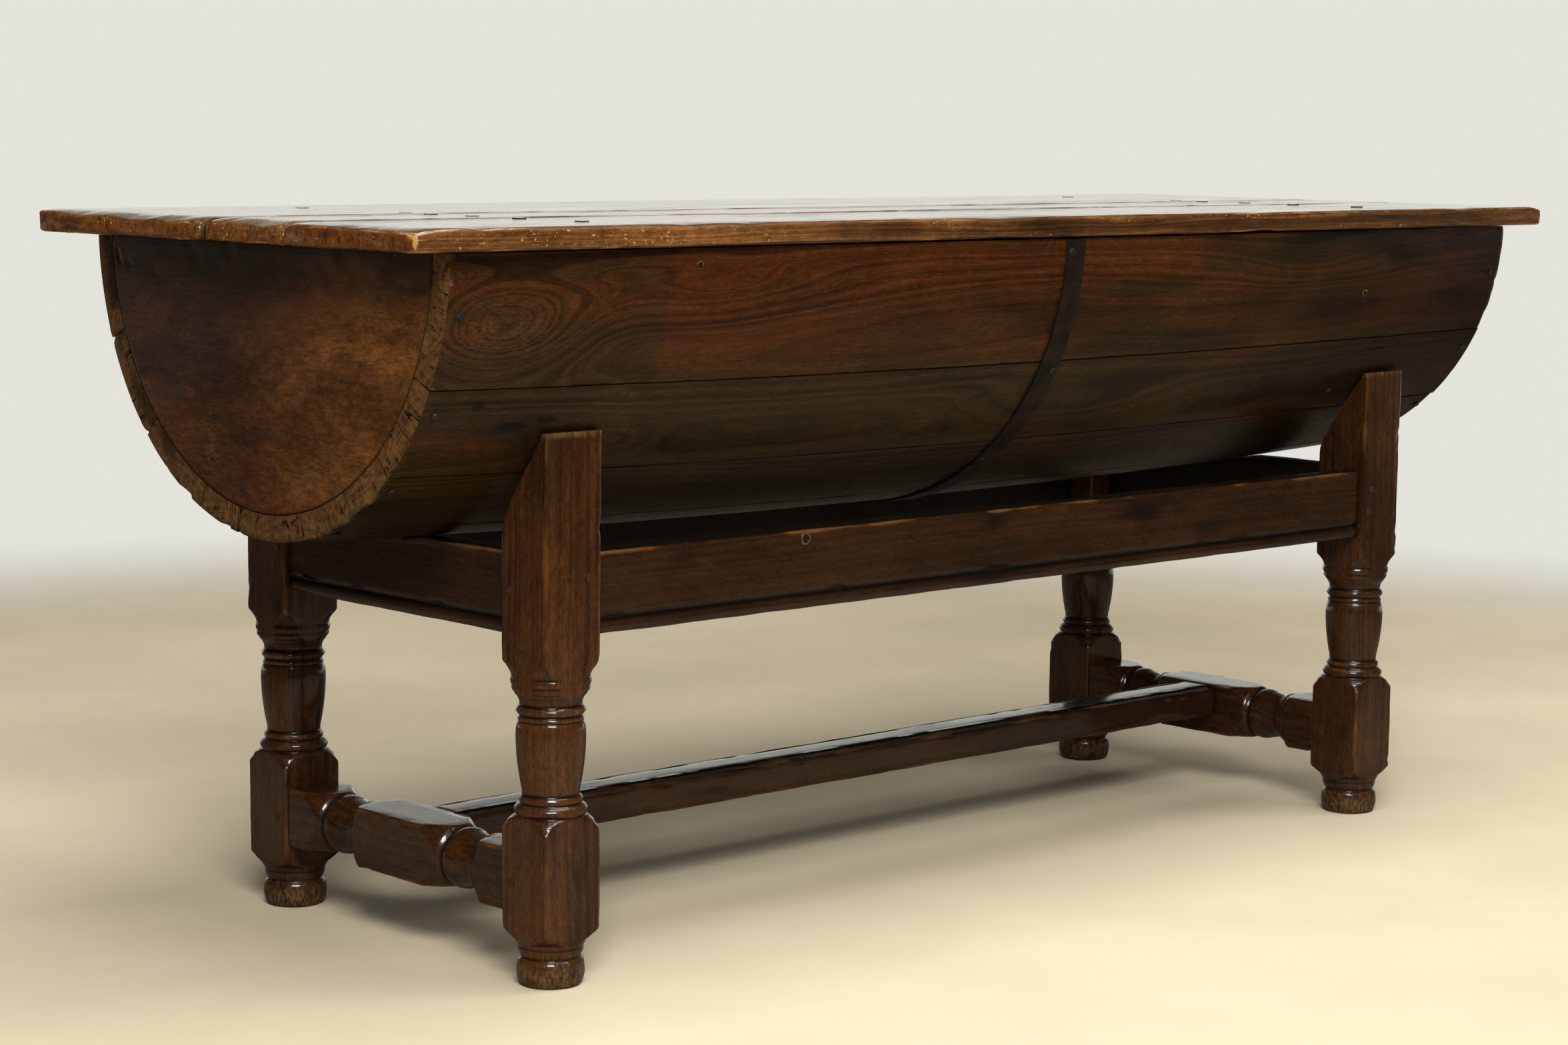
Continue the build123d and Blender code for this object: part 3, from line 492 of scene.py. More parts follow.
endLook = woodLook | {
    "dark": (0.030, 0.0098, 0.0030), "light": (0.078, 0.0250, 0.0072), "dark2": (0.058, 0.0210, 0.0047),
    "light2": (0.170, 0.0640, 0.0134), "grime": (0.0165, 0.0120, 0.0082), "figure": 0.1, "fibre": 0.14,
    "mottle": 0.32, "speckle": 0.3, "scratches": 0.8, "scratchShare": 0.42, "flecks": 0.34, "mottleBump": 0.6}
standLook = woodLook | {
    "dark": (0.025, 0.0082, 0.0023), "light": (0.088, 0.0300, 0.0066), "dark2": (0.0125, 0.0056, 0.0021),
    "light2": (0.038, 0.0150, 0.0048), "worn": (0.115, 0.040, 0.0095), "bare": (0.21, 0.10, 0.030),
    "figure": 0.4, "fibre": 0.16, "mottle": 0.16, "speckle": 0.27, "checks": 0.15, "poreShare": 0.22,
    "wearReach": 0.40, "gloss": 0.3, "glossSpread": 0.05, "coat": 0.9, "coatRoughness": 0.11,
    "mottleBump": 0.2, "bump": 0.22}
# kind of wood: its material, the body that it rides on and its colour slot
woods = {
    "lid": (makeWood("waxed lid plank", lidLook), "lid", "lid_wood"),
    "stave": (makeWood("waxed stave", woodLook), "trough", "trough_wood"),
    "end": (makeWood("waxed end board", endLook), "trough", "end_wood"),
    "stand": (makeWood("polished stand wood", standLook), "stand", "stand_wood")}


def addWood(kind, name, points, faces, place, arris, tone, endGrain, replaced=()):
    second, grime, dry = np.broadcast_arrays(*tone, arris)[:3]
    tone = np.stack([second, np.clip(grime, 0, 1), np.clip(dry, 0, 1)], 1)
    endGrain = np.broadcast_to(endGrain, arris.shape)
    addPiece(name, points, faces, *woods[kind], replaced,
             {"grainPlace": place, "arris": arris, "tone": tone, "endGrain": endGrain})


print("wood finishes made")


def makeCadFinish(name, look):  # for the small pieces that keep their CAD meshes
    look = cadLook | look
    material = bpy.data.materials.new(name)
    material.use_nodes = True
    tree = material.node_tree
    shader = tree.nodes["Principled BSDF"]
    place = stretched(put(tree, "TexCoord").outputs["Object"], (1000.0, 1000.0, 1000.0))
    spots = noise(place, (look["size"],) * 3, 5.0, 0.65)
    fine = noise(place, (look["size"] * 6,) * 3, 3.0, 0.6)
    body = mixColour(spread(spots, 0.35, 0.65), colour(look["dark"]), colour(look["light"]))
    body = mixColour(spread(fine, 0.55, 0.75), body, colour(look["speck"]))
    rough = spread(spots, 0.3, 0.7, look["gloss"] + 0.12, look["gloss"] - 0.08)
    height = plus(spots, times(fine, 0.4))
    bump = put(tree, "Bump", {"Height": height, "Strength": look["bump"], "Distance": 0.0008})
    for key, value in (("Base Color", body), ("Roughness", rough), ("Normal", bump.outputs[0])):
        tree.links.new(value, shader.inputs[key])
    shader.inputs["Metallic"].default_value = look["metal"]
    shader.inputs["Coat Weight"].default_value = look["coat"]
    shader.inputs["Coat Roughness"].default_value = 0.08
    return material


cadLook = {"size": 0.05, "dark": (0.013, 0.0085, 0.0055), "light": (0.028, 0.019, 0.0125),
           "speck": (0.045, 0.023, 0.010), "gloss": 0.46, "bump": 0.18, "metal": 0.0, "coat": 0.0}
ironFinish = makeCadFinish("browned iron", {"metal": 0.5})
pegFinish = makeCadFinish("dark end grain peg", {
    "size": 0.5, "dark": (0.020, 0.009, 0.004), "light": (0.060, 0.027, 0.012),
    "speck": (0.010, 0.006, 0.004), "gloss": 0.42, "bump": 0.4})
rustyFinish = makeCadFinish("rusty nail", {
    "size": 0.08, "dark": (0.010, 0.0055, 0.0026), "light": (0.026, 0.013, 0.0056),
    "speck": (0.040, 0.018, 0.007), "gloss": 0.62, "bump": 0.2})
nailFinish = makeCadFinish("waxed nail head", {
    "dark": (0.030, 0.013, 0.006), "light": (0.075, 0.032, 0.012), "gloss": 0.17, "bump": 0.05, "coat": 0.6})
cadFinishes = {"pegs": pegFinish, "lid_nails": nailFinish,  # by the start of a node's name; the rest is iron
               "end_nails": rustyFinish, "band_nails": rustyFinish}
for nodeName, node in nodes.items():
    finish = next((made for start, made in cadFinishes.items() if nodeName.startswith(start)), ironFinish)
    for index in range(len(node.data.materials)):
        node.data.materials[index] = finish
print("iron and pegs finished")


# Lid: four planks and two battens.
lid = {"edgeEase": 4.0, "seamEase": 1.3, "endEase": 3.8, "faceEase": 3.6, "step": (8.0, 7.0, 4.0),
       "pith": (40.0, -70.0), "lowered": {"lid_board_front": 0.6, "lid_board_strip": 0.5},
       "endReach": 70.0, "wanderDepth": 3.4, "endRipple": 0.8, "rightShare": 0.7, "tipReach": 30,
       "droopDepths": (1.2, 3.4), "seamCrumble": 2.6, "cornerRub": 0.8, "cornerReach": 20, "knobHeight": 1.6,
       "wear": {"face": 0.8, "faceSize": (150, 34, 30), "arris": 2.2, "arrisSize": (70, 30, 30),
                "arrisWidth": 8, "chip": 1.6, "chipSize": 9, "chipFrom": 0.74, "zone": 14},
       "wander": ((52, 40, 1), 3, 0.35, 0.9), "droop": ((58, 50, 1), 7, 0.3, 0.7),
       "grime": ((210, 36, 40), 11, 0.5, 0.75), "frontGrime": ((150, 30, 11), 15, 0.40, 0.62),
       "crumbs": ((9, 6, 6), 27, 0.4, 0.6), "warm": (260, 50, 60), "knob": (7, 7, 7)}
# name, seams at the front and back, dents as (along, across, up, reach, depth), eyes in the figure
lidBoards = (
    ("lid_board_front", False, True,
     ((0, 0, 24, 8, 1.8), (22, 0, 24, 8, 1.6), (78, 0, 24, 13, 2.0), (330, 0, 24, 18, 1.6),
      (410, 0, 24, 12, 2.2), (760, 0, 24, 34, 1.6), (1185, 0, 0, 24, 1.8), (1560, 0, 24, 22, 1.7),
      (0, 105, 24, 16, 1.8), (0, 210, 24, 8, 3.4)), ((420, 90, 120, 40, 26),)),
    ("lid_board_middle", True, True, ((0, 0, 24, 9, 3.4), (0, 102, 24, 8, 3.6), (0, 52, 24, 18, 1.6)),
     ((1050, 60, 150, 30, 22),)),
    ("lid_board_strip", True, True, ((0, 4, 24, 8, 2.6), (0, 34, 24, 8, 3.0)), ()),
    ("lid_board_back", True, False, ((0, 4, 24, 8, 3.2), (0, 130, 24, 34, 1.8), (0, 60, 24, 14, 1.8)),
     ((300, 170, 110, 50, 30), (1300, 110, 140, 45, 24))))


def bendRound(place, flat, eyes):  # the rings close round an eye; the last number of an eye is its rise
    for eye in eyes:
        place[:, 2] -= eye[4] * softSpot(flat[:, 0], flat[:, 1], eye)
    return place


def addBoard(name, seed, seamFront, seamBack, dings, eyes):
    low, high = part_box(name)
    size = [(high[i] - low[i]) / mm for i in range(3)]
    length, width = size[:2]
    sides = [lid["seamEase" if seam else "edgeEase"] for seam in (seamFront, seamBack)]
    eases = (lid["endEase"], *sides, lid["faceEase"])
    wear = lid["wear"] | {"dings": dings}
    worn, faces, arris, atEnd, flat, chips = wornBlock(size, eases, lid["step"], wear, seed)
    u, v, w = flat.T
    leftEnd = fadeOut(0, lid["endReach"], u)
    rightEnd = fadeIn(length - lid["endReach"], length, u)
    # the short ends wander a little, and the corners are rubbed round
    across = np.stack([v, w * 0.3, v * 0 + seed * 31], 1)
    sway = lid["wanderDepth"] * patchy(across, lid["wander"])
    sway += lid["endRipple"] * roughNoise(across, (12, 9, 1), 5)
    worn[:, 0] += sway * leftEnd - lid["rightShare"] * sway * rightEnd
    # tops rubbed down towards the ends, in waves, and crumbled at the seams
    far = 99.0
    fromTip = np.minimum(u, length - u)
    fromSeam = np.minimum(v if seamFront else far, width - v if seamBack else far)
    fromCorner = np.minimum(far if seamFront else v, far if seamBack else width - v)
    least, wave = lid["droopDepths"]
    droop = (least + wave * patchy(across, lid["droop"])) * fadeOut(0, lid["tipReach"], fromTip) ** 1.5
    droop += lid["seamCrumble"] * fadeOut(0, 9, fromSeam) * fadeOut(0, 26, fromTip)
    worn[:, 2] -= (droop + lid["lowered"].get(name, 0)) * fadeIn(6, 22, w)
    rub = lid["cornerRub"] * fadeOut(0, 16, fromCorner) ** 2
    reach = lid["cornerReach"]
    worn[:, 0] += rub * fadeOut(0, reach, u) - rub * fadeIn(length - reach, length, u)
    # each board still reaches the ends of the lid
    worn[:, 0] -= np.min(worn[:, 0]) * leftEnd
    worn[:, 0] += (length - np.max(worn[:, 0])) * rightEnd
    pithY, pithZ = lid["pith"]
    place = np.stack([u + seed * 911.0, v + pithY + seed * 37 % 90 - width / 2, w + pithZ], 1)
    atTip = fadeOut(2, 16, fromTip)
    knob = lid["knobHeight"] * roughNoise(flat, lid["knob"], 35)  # rubbed bare at the lid's corners
    knob = knob * np.exp(-(np.hypot(u, fromCorner) / 15) ** 2) * fadeIn(4, 16, w)
    onFront = fadeOut(1, 6, v) * (name == "lid_board_front")
    grime = most(0.6 * patchy(flat + seed * 50, lid["grime"], seed),
                 (0.9 - 0.5 * atTip) * fadeOut(0, 7, fromSeam),
                 0.55 * onFront * patchy(flat, lid["frontGrime"]) * fadeIn(260, 620, u))
    # painted shade: the underside of each board is darkened through the grime mark
    undersideShade = 0.62 * fadeOut(0, 3, w)
    crumbs = atTip * fadeOut(3, 12, fromSeam) * patchy(flat, lid["crumbs"])
    warm = roughNoise(flat + seed * 71, lid["warm"], seed + 13) + 0.12 * onFront * (u < 520)
    grime = most(grime * (1 - 0.7 * arris), undersideShade)
    tone = (fadeIn(0.4, 0.7, warm), grime, most(0.5 * chips, 0.9 * crumbs))
    arris = arris * np.where(fromSeam < 10, 0.35, 1.0) + knob  # bare wood shows less along a seam
    addWood("lid", name.replace("lid_", "") + "_worn", np.array(low) + worn * mm, faces,
            bendRound(place, flat, eyes), arris, tone, atEnd, [name])


for seed, board in enumerate(lidBoards):
    addBoard(board[0], seed + 1, *board[1:])


batten = {"eases": (3, 2, 2, 2), "step": (10, 8, 6), "wear": {"arris": 1.2}, "arrisShare": 0.7,
          "endDirt": 0.3}


def addBatten(name, seed):
    low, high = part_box(name)
    size = [(high[1] - low[1]) / mm, (high[0] - low[0]) / mm, (high[2] - low[2]) / mm]
    worn, faces, arris, atEnd, flat, _ = wornBlock(size, batten["eases"], batten["step"], batten["wear"],
                                                   seed)
    points = np.stack([high[0] - worn[:, 1] * mm, low[1] + worn[:, 0] * mm, low[2] + worn[:, 2] * mm], 1)
    tone = (roughNoise(flat, 90, seed), atEnd * batten["endDirt"], atEnd * batten["endDirt"])
    addWood("lid", name.replace("lid_", "") + "_worn", points, faces, flat + [seed * 700, 20, -60],
            arris * batten["arrisShare"], tone, atEnd, [name])


for seed, name in enumerate(("lid_batten_left", "lid_batten_right")):
    addBatten(name, seed + 31)
print("lid built")


# Trough: staves bent to a slight barrel; seams in degrees from the front down.
barrel = {"middleX": 4.0, "length": 1616.0, "axisZ": 732.0, "radius": 318.0, "bow": 20800.0, "bandSeat": 60.0,
          "endSeat": 40.0, "thickness": 28.0, "top": 722.0, "seamGap": 0.4,
          "seams": (0.0, 27.0, 47.5, 68.5, 99.5, 112.5, 135.0, 157.0, 180.0)}
rimDrop = barrel["axisZ"] - barrel["top"]  # the rim lies this far under the barrel's axis
staveNames = ("stave_front_upper", "stave_front_middle", "stave_front_lower", "stave_bottom_front",
              "stave_bottom_back", "stave_back_lower", "stave_back_middle", "stave_back_upper")
stave = {"wear": {"face": 1.0, "faceSize": (200, 46, 30), "arris": 0.35, "arrisWidth": 3, "chip": 0.5,
                  "chipWidth": 2.5, "chipFrom": 0.76, "zone": 13},
         "eases": (1.0, 0.5, 0.5, 0.6), "step": (10, 5.5, 6), "chew": (0.4, 3.4), "roughDepth": 1.1,
         "scarDepth": 1.6, "scarDark": 1.1, "rightBites": 0.35,
         "shortBy": {"stave_front_lower": 5.0}, "reach": 40,
         "bites": ((15, 10, 10), 3, 0.50, 0.64), "roughEnd": (7, 10, 7), "patches": (330, 46, 50),
         "redSpots": ((240, 40, 50), 29, 0.6, 0.75), "blotches": ((160, 34, 50), 17, 0.45, 0.85),
         "underLidShadowAndGrime": ((60, 16, 50), 9, 0.35, 0.6), "streaks": ((300, 8, 50), 19, 0.5, 0.75),
         "rimDark": ((38, 16, 12), 33, 0.36, 0.66), "pale": ((80, 50, 50), 23, 0.68, 0.8),
         "gold": (62, 84, 60, 34)}
# gouges as (along, round from the front rim, reach along, reach round), and eyes in the figure
staveScars = ((112, 197, 24, 7), (150, 190, 14, 6), (1390, 42, 26, 5), (62, 168, 9, 7), (820, 372, 10, 8))
staveEyes = {
    "stave_front_upper": ((64, 76, 96, 46, 74), (290, 46, 190, 34, 30), (1240, 40, 160, 30, 20)),
    "stave_front_middle": ((900, 60, 170, 30, 18), (230, 70, 60, 18, 14)),
    "stave_back_upper": ((1180, 80, 120, 50, 46),), "stave_back_middle": ((520, 60, 130, 36, 26),)}


def barrelRadius(x):  # outer radius at a distance x from the trough's middle
    bowStart = barrel["bandSeat"] / 2
    bowEnd = barrel["length"] / 2 - barrel["endSeat"]
    bowed = np.clip(np.abs(x) - bowStart, 0, bowEnd - bowStart)
    rise = np.sqrt(barrel["bow"]**2 - bowed**2)
    return barrel["radius"] - barrel["bow"] + rise - np.maximum(np.abs(x) - bowEnd, 0) * bowed / rise


def onBarrel(x, angle, radius):  # from along, round and out to a place in metres
    y, z = -radius * np.cos(angle), barrel["axisZ"] - radius * np.sin(angle)
    return np.stack([x + barrel["middleX"], y, z], 1) * mm


def addStave(index, name):
    length, thick = barrel["length"], barrel["thickness"]
    isFirst, isLast = index == 0, index == len(staveNames) - 1
    seamHalf = barrel["seamGap"] / 2 / barrel["radius"]
    first = math.radians(barrel["seams"][index]) + (0 if isFirst else seamHalf)
    last = math.radians(barrel["seams"][index + 1]) - (0 if isLast else seamHalf)
    topCut = math.asin(rimDrop / barrel["radius"])
    width = (last - first - (topCut if isFirst or isLast else 0)) * barrel["radius"]
    worn, faces, arris, atEnd, flat, _ = wornBlock((length, width, thick), stave["eases"], stave["step"],
                                                   stave["wear"], index + 41)
    along, over, up = flat.T
    # small bites out of the outer arris at each end, in groups
    onLeft = along < length / 2
    fromEnd = np.minimum(along, length - along)
    outer = fadeIn(thick * 0.35, thick, up)
    rimPlace = np.stack([over + index * 400, (along > length / 2) * 777.0, up * 0.35], 1)
    bite = patchy(rimPlace, stave["bites"]) * fadeIn(0.46, 0.6, softNoise(rimPlace, 64, 8))
    atSeam = np.exp(-(np.minimum(over, width - over) / 5) ** 2) * (index % 3 == 0)
    bite = np.maximum(bite, atSeam) * np.where(onLeft, 1.0, stave["rightBites"])
    least, deepest = stave["chew"]
    chewed = (least + deepest * bite) * outer * fadeOut(0, 6.0, fromEnd)
    rough = stave["roughDepth"] * roughNoise(rimPlace * [1, 1, 2.8], stave["roughEnd"], 4)
    rough = rough * fadeOut(0, 1.2, fromEnd)
    worn[:, 2] -= chewed
    face = fadeIn(thick * 0.5, thick, up)
    fromRim = over + math.radians(barrel["seams"][index]) * barrel["radius"]
    for scar in staveScars:
        worn[:, 2] -= stave["scarDepth"] * softSpot(along, fromRim, scar) * face
    worn[:, 0] += np.where(onLeft, 1, -1) * (chewed * 0.5 + rough)
    worn[:, 0] -= stave["shortBy"].get(name, 0) * fadeIn(length - stave["reach"], length, along)
    # bent round the barrel, with the rim cut level
    u, v, w = worn.T
    x = u - length / 2
    radius = barrelRadius(x) - (thick - w)
    cut = np.arcsin(rimDrop / radius)
    start = cut if isFirst else first
    finish = math.pi - cut if isLast else last
    angle = start + (finish - start) * v / width
    closing = fadeOut(1.5, 7, fromEnd) * seamHalf * 1.1
    angle += closing * (np.where(v > width - 3, not isLast, 0) - np.where(v < 3, not isFirst, 0))
    points = onBarrel(x, angle, radius)
    points[:, 2] = np.minimum(points[:, 2], barrel["top"] * mm)
    # red and dark patches, painted shadow of the lid with some grime just under the top rim, painted shade on
    # the lower staves, black at the joints, pale crumbs at the bites
    around = angle * barrel["radius"]
    place = np.stack([along + index * 1733.0, over - width / 2 + 83 * index % 70 - 30, up - 110], 1)
    spot = np.stack([along, around, up * 0], 1)
    patches = roughNoise(spot, stave["patches"], 5)
    red = 0.9 * fadeIn(0.3, 0.68, patches + 0.16 * np.exp(-((along - 750) / 420) ** 2) - 0.20 * (along < 260))
    red = most(red * fadeOut(110, 165, around + 40 * (patches - 0.5)),
               0.6 * patchy(spot, stave["redSpots"]) * (around < 330),
               0.7 * (around > 760) * fadeIn(0.4, 0.6, patches))
    blotch = 0.3 * patchy(spot, stave["blotches"]) + 0.5 * fadeIn(850, 1500, along) * (around < 400)
    # painted shade: the lower front and bottom staves are darkened
    grime = most(0.5 * fadeIn(220, 360, around) * fadeOut(560, 760, around),
                 # painted shadow of the lid's overhang, with some grime, along the top rim
                 0.8 * fadeOut(0, 20, around) * patchy(spot, stave["underLidShadowAndGrime"]),
                 0.3 * patchy(spot, stave["streaks"]), blotch,
                 *[stave["scarDark"] * softSpot(along, around, scar) for scar in staveScars])
    grime = grime * np.where(face > 0.5, 1, 0.4)
    rimDark = 0.36 * patchy(rimPlace, stave["rimDark"]) + 0.34 * fadeIn(590, 690, around)
    gold = 0.2 * softSpot(along, around, stave["gold"]) if isFirst else 0.0
    pale = most(0.08 * patchy(spot, stave["pale"]), gold,
                np.clip(bite * 1.2, 0, 1) * outer * fadeOut(2, 8, fromEnd))
    addWood("stave", name + "_worn", points, faces, bendRound(place, flat, staveEyes.get(name, ())),
            arris * 0.22, (red, most(grime, atEnd * rimDark * (1 - 0.6 * outer)), pale),
            np.maximum(atEnd, fadeOut(1, 5, fromEnd) * outer * np.clip(bite * 1.3, 0, 1)), [name])


for index, name in enumerate(staveNames):
    addStave(index, name)
print("staves built")


# Trough ends: half-round boards, in columns from the flat top down to the arc.
endBoard = {"thickness": 32.0, "gap": 0.2, "columns": 96, "rows": 34, "ease": 1.2, "dish": (70, 90, 60),
            "dishDepth": 1.1, "edgeDepth": 1.0, "scoopDepth": 1.6,
            "scoops": ((11, 16, 14), 75, 0.7, 0.8), "clouds": (120, 66, 50), "ragged": (26, 9, 30),
            "pits": ((7, 5, 9), 91, 0.66, 0.76), "dark": ((40, 70, 50), 83, 0.58, 0.75),
            "scuffs": ((30, 30, 20), 87, 0.6, 0.74)}


def addEndBoard(name, sign):
    thick, ease = endBoard["thickness"], endBoard["ease"]
    turns = np.linspace(0.05, math.pi - 0.05, endBoard["columns"])
    rows = np.array([0, 0.0015, 0.005, *np.linspace(0.02, 0.98, endBoard["rows"]), 0.995, 0.9985, 1])
    flat, faces = blockShell(stations(thick, ease, ease, 8), turns, rows)
    depth, turn, row = flat.T
    x = sign * (barrel["length"] / 2 - depth)
    reach = barrelRadius(x) - barrel["thickness"] - endBoard["gap"]
    y = -np.sqrt(reach**2 - rimDrop**2) * np.cos(turn)
    floor = barrel["axisZ"] - np.sqrt(np.maximum(reach**2 - y**2, 0))
    z = barrel["top"] + (floor - barrel["top"]) * row
    rimAway = reach - np.hypot(y, barrel["axisZ"] - z)
    topAway = barrel["top"] - z
    edgeAway = np.minimum(rimAway, topAway)
    outside = np.minimum(depth, thick - depth)
    spot = np.stack([y, z, depth * 0.2 + sign * 40], 1)
    dish = endBoard["dishDepth"] * roughNoise(spot, endBoard["dish"], 71)
    dish += endBoard["edgeDepth"] * fadeOut(0, 2.2, edgeAway) ** 2
    dish += endBoard["scoopDepth"] * patchy(spot, endBoard["scoops"]) * fadeOut(0, 60, topAway)
    x = x - sign * np.where(outside < 0.01, np.where(depth < thick / 2, dish, -dish), 0)
    points = np.stack([x + barrel["middleX"], y, z], 1) * mm
    # painted shadow of the lid's overhang mixed with real grime in a ragged band along the top, black in pits
    # and along the arc; orange towards the front, partly the wood's own colour and partly painted light on
    # the lit side
    cloudy = roughNoise(spot, endBoard["clouds"], 81)
    ragged = topAway + 70 * (cloudy - 0.5) + 60 * (roughNoise(spot, endBoard["ragged"], 85) - 0.5)
    pitted = patchy(spot, endBoard["pits"]) * (0.25 + 0.75 * fadeOut(20, 160, topAway))
    blackAndLidShadow = most(0.95 * fadeOut(-20, 105, ragged), 0.7 * pitted, 0.5 * fadeOut(0, 4, rimAway),
                 0.45 * patchy(spot, endBoard["dark"]))
    orangeAndLitSide = fadeIn(60, -190, y + 150 * (cloudy - 0.5)) * (1 - fadeIn(-190, -300, y) * 0.3)
    scuffed = 0.6 * patchy(spot, endBoard["scuffs"]) * fadeIn(620, 520, z + 0.25 * np.abs(y))
    arris = np.where(outside < 2, fadeOut(0, 4, edgeAway), 0)
    addWood("end", name + "_worn", points, faces[:, ::-1] if sign > 0 else faces,
            np.stack([y + 900 * sign, z - 480, depth - 75], 1), arris * 0.25, (orangeAndLitSide, blackAndLidShadow, scuffed), 0.0,
            [name])


addEndBoard("trough_end_left", -1)
addEndBoard("trough_end_right", 1)
print("ends built")


# Turned and squared stock: a square with rounded corners, cut by a turned outline.
def turnedOutline(rows, heights):  # rows of height, radius and swell, which bows the way to the next row
    radius = np.zeros(len(heights))
    for (low, start, swell), (high, end, _) in zip(rows, rows[1:]):
        inside = (heights >= low) & (heights <= high)
        share = (heights[inside] - low) / (high - low)
        radius[inside] = start + (end - start) * share + swell * 4 * share * (1 - share)
    return radius


def lengthways(field, h):  # how a field changes along the piece
    return np.gradient(field, axis=0) / np.maximum(np.gradient(h, axis=0), 1e-6)


def turnedStock(length, size, ease, rows, seed, wear):
    half, step, fineStep = size / 2, 7.0, 2.2
    heights = {0.0, float(length)}
    for (low, _, swell), (high, _, _) in zip(rows, rows[1:]):
        spacing = fineStep if high - low < 40 else step
        count = max(8 if abs(swell) > 0.8 and high - low > 4 else 2, int((high - low) / spacing) + 2)
        heights.update(np.round(np.linspace(low, high, count), 3).tolist())
    heights = np.array(sorted(h for h in heights if 0 <= h <= length))
    quarter = np.arctan(np.concatenate([np.linspace(0, 0.9, 9)[:-1], np.linspace(0.9, 1, 6)]))
    eighth = np.concatenate([quarter, (math.pi / 2 - quarter[::-1])[1:]])
    angles = np.concatenate([eighth[:-1] + k * math.pi / 2 for k in range(4)])
    h, a = np.meshgrid(heights, angles, indexing="ij")
    c, s = np.abs(np.cos(a)), np.abs(np.sin(a))
    square = half / np.maximum(c, s)
    inner = half - ease  # rounded corner of the square
    corner = (c + s) * inner + np.sqrt(np.maximum(((c + s) * inner) ** 2 - 2 * inner**2 + ease**2, 0))
    square = np.where((c * square > inner) & (s * square > inner), np.minimum(corner, square), square)
    outline = turnedOutline(rows, h.ravel()).reshape(h.shape)
    radius = smoothMin(square, outline, 0.7)
    flat = np.stack([h.ravel(), (radius * np.cos(a)).ravel(), (radius * np.sin(a)).ravel()], 1)
    shoulder = np.clip(1 - np.abs(square - outline) / 4.0, 0, 1) * (np.minimum(square, outline) > half - 1)
    cornerNear = fadeIn(half * 1.22, half * 1.38, radius)
    bend = -lengthways(lengthways(radius, h), h)
    crest = np.clip(bend * 3.0, 0, 1) * (outline < square)
    hollow = np.clip(-bend * 3.0, 0, 1) * (outline < square)
    arris = np.clip(most(shoulder * 0.8, cornerNear, crest), 0, 1).ravel()
    place = flat + seed * 517.3
    depth = wear["face"] * roughNoise(place, (70, 24, 24), seed)
    depth += wear["arris"] * arris * roughNoise(place, (26, 14, 14), seed + 5) ** 2 * 2
    depth += wear["chip"] * cornerNear.ravel() * fadeIn(0.68, 0.8, softNoise(place, (12, 9, 9), seed + 9))
    flat[:, 1:] -= flat[:, 1:] / np.linalg.norm(flat[:, 1:], axis=1, keepdims=True) * depth[:, None]
    index = np.arange(h.size).reshape(h.shape)
    return flat, tubeFaces(index, np.roll(index, -1, axis=1)), arris, hollow.ravel()


def tubeFaces(index, beside):  # quads round a run of closed rings, and a face at each end
    quads = np.stack([index[:-1], beside[:-1], beside[1:], index[1:]], -1).reshape(-1, 4)
    return [*quads.tolist(), index[0][::-1].tolist(), index[-1].tolist()]


# Patches and noise sizes that the stand's pieces share; each piece adds its own seed.
stand = {"turnedGrime": ((70, 26, 26), 6, 0.62, 0.8), "legDust": ((90, 22, 22), 3, 0.66, 0.8),
         "legSecond": ((160, 40, 40), 8, 0.45, 0.75), "crossDust": ((60, 22, 22), 3, 0.6, 0.8),
         "crossSecond": (160, 40, 40), "longGrime": ((120, 26, 26), 6, 0.6, 0.78),
         "longSecond": (260, 40, 40), "railDust": ((80, 22, 22), 3, 0.62, 0.8),
         "longDust": ((80, 22, 22), 3, 0.6, 0.8), "mouldChips": ((17, 9, 9), 9, 0.6, 0.8)}


def turnedGrime(hollow, spot, seed):  # dirt in the turned hollows and in patches
    return np.clip(hollow * 1.2, 0, 0.9) + 0.5 * patchy(spot, stand["turnedGrime"], seed)


leg = {"size": 70.0, "height": 546.0, "ease": 2.4, "cutDepth": 98.0, "topThickness": 5.0, "cutBow": 5.0,
       "wear": {"face": 0.4, "arris": 0.9, "chip": 1.2}}
legRows = (
    (0, 29.5, 0.8), (3, 31.5, 0.4), (12, 33.8, 0.2), (25, 32.6, 0), (27.5, 28.8, 0), (28.5, 28.8, 1.6),
    (38, 32.0, 0), (40, 33.0, 0), (42, 34.2, -1.2), (49, 40.5, 0), (57, 50.0, 0), (153, 50.0, 0),
    (161.5, 43.4, 0), (164, 42.6, 0), (168.5, 36.6, 0), (169.5, 33.6, 3.1), (180, 33.4, 0),
    (181, 30.6, 0), (182, 30.4, 1.8), (188.5, 30.0, 0), (189.5, 28.4, 0), (194.5, 28.8, 1.4),
    (248, 34.8, 0.4), (261.5, 33.0, 0), (262.3, 31.6, 1.5), (267.5, 31.4, 0), (268.5, 30.6, 0),
    (269, 31.8, 3.0), (277.5, 31.6, 0), (278.5, 30.9, -0.8), (287, 33.6, 0), (289.5, 36.0, 0),
    (291.5, 36.4, 0), (292.5, 38.0, 0.9), (298, 38.2, 0), (299, 39.4, 0), (303, 40.4, 0),
    (306, 38.7, -2.4), (321, 50.0, 0), (546, 50.0, 0))


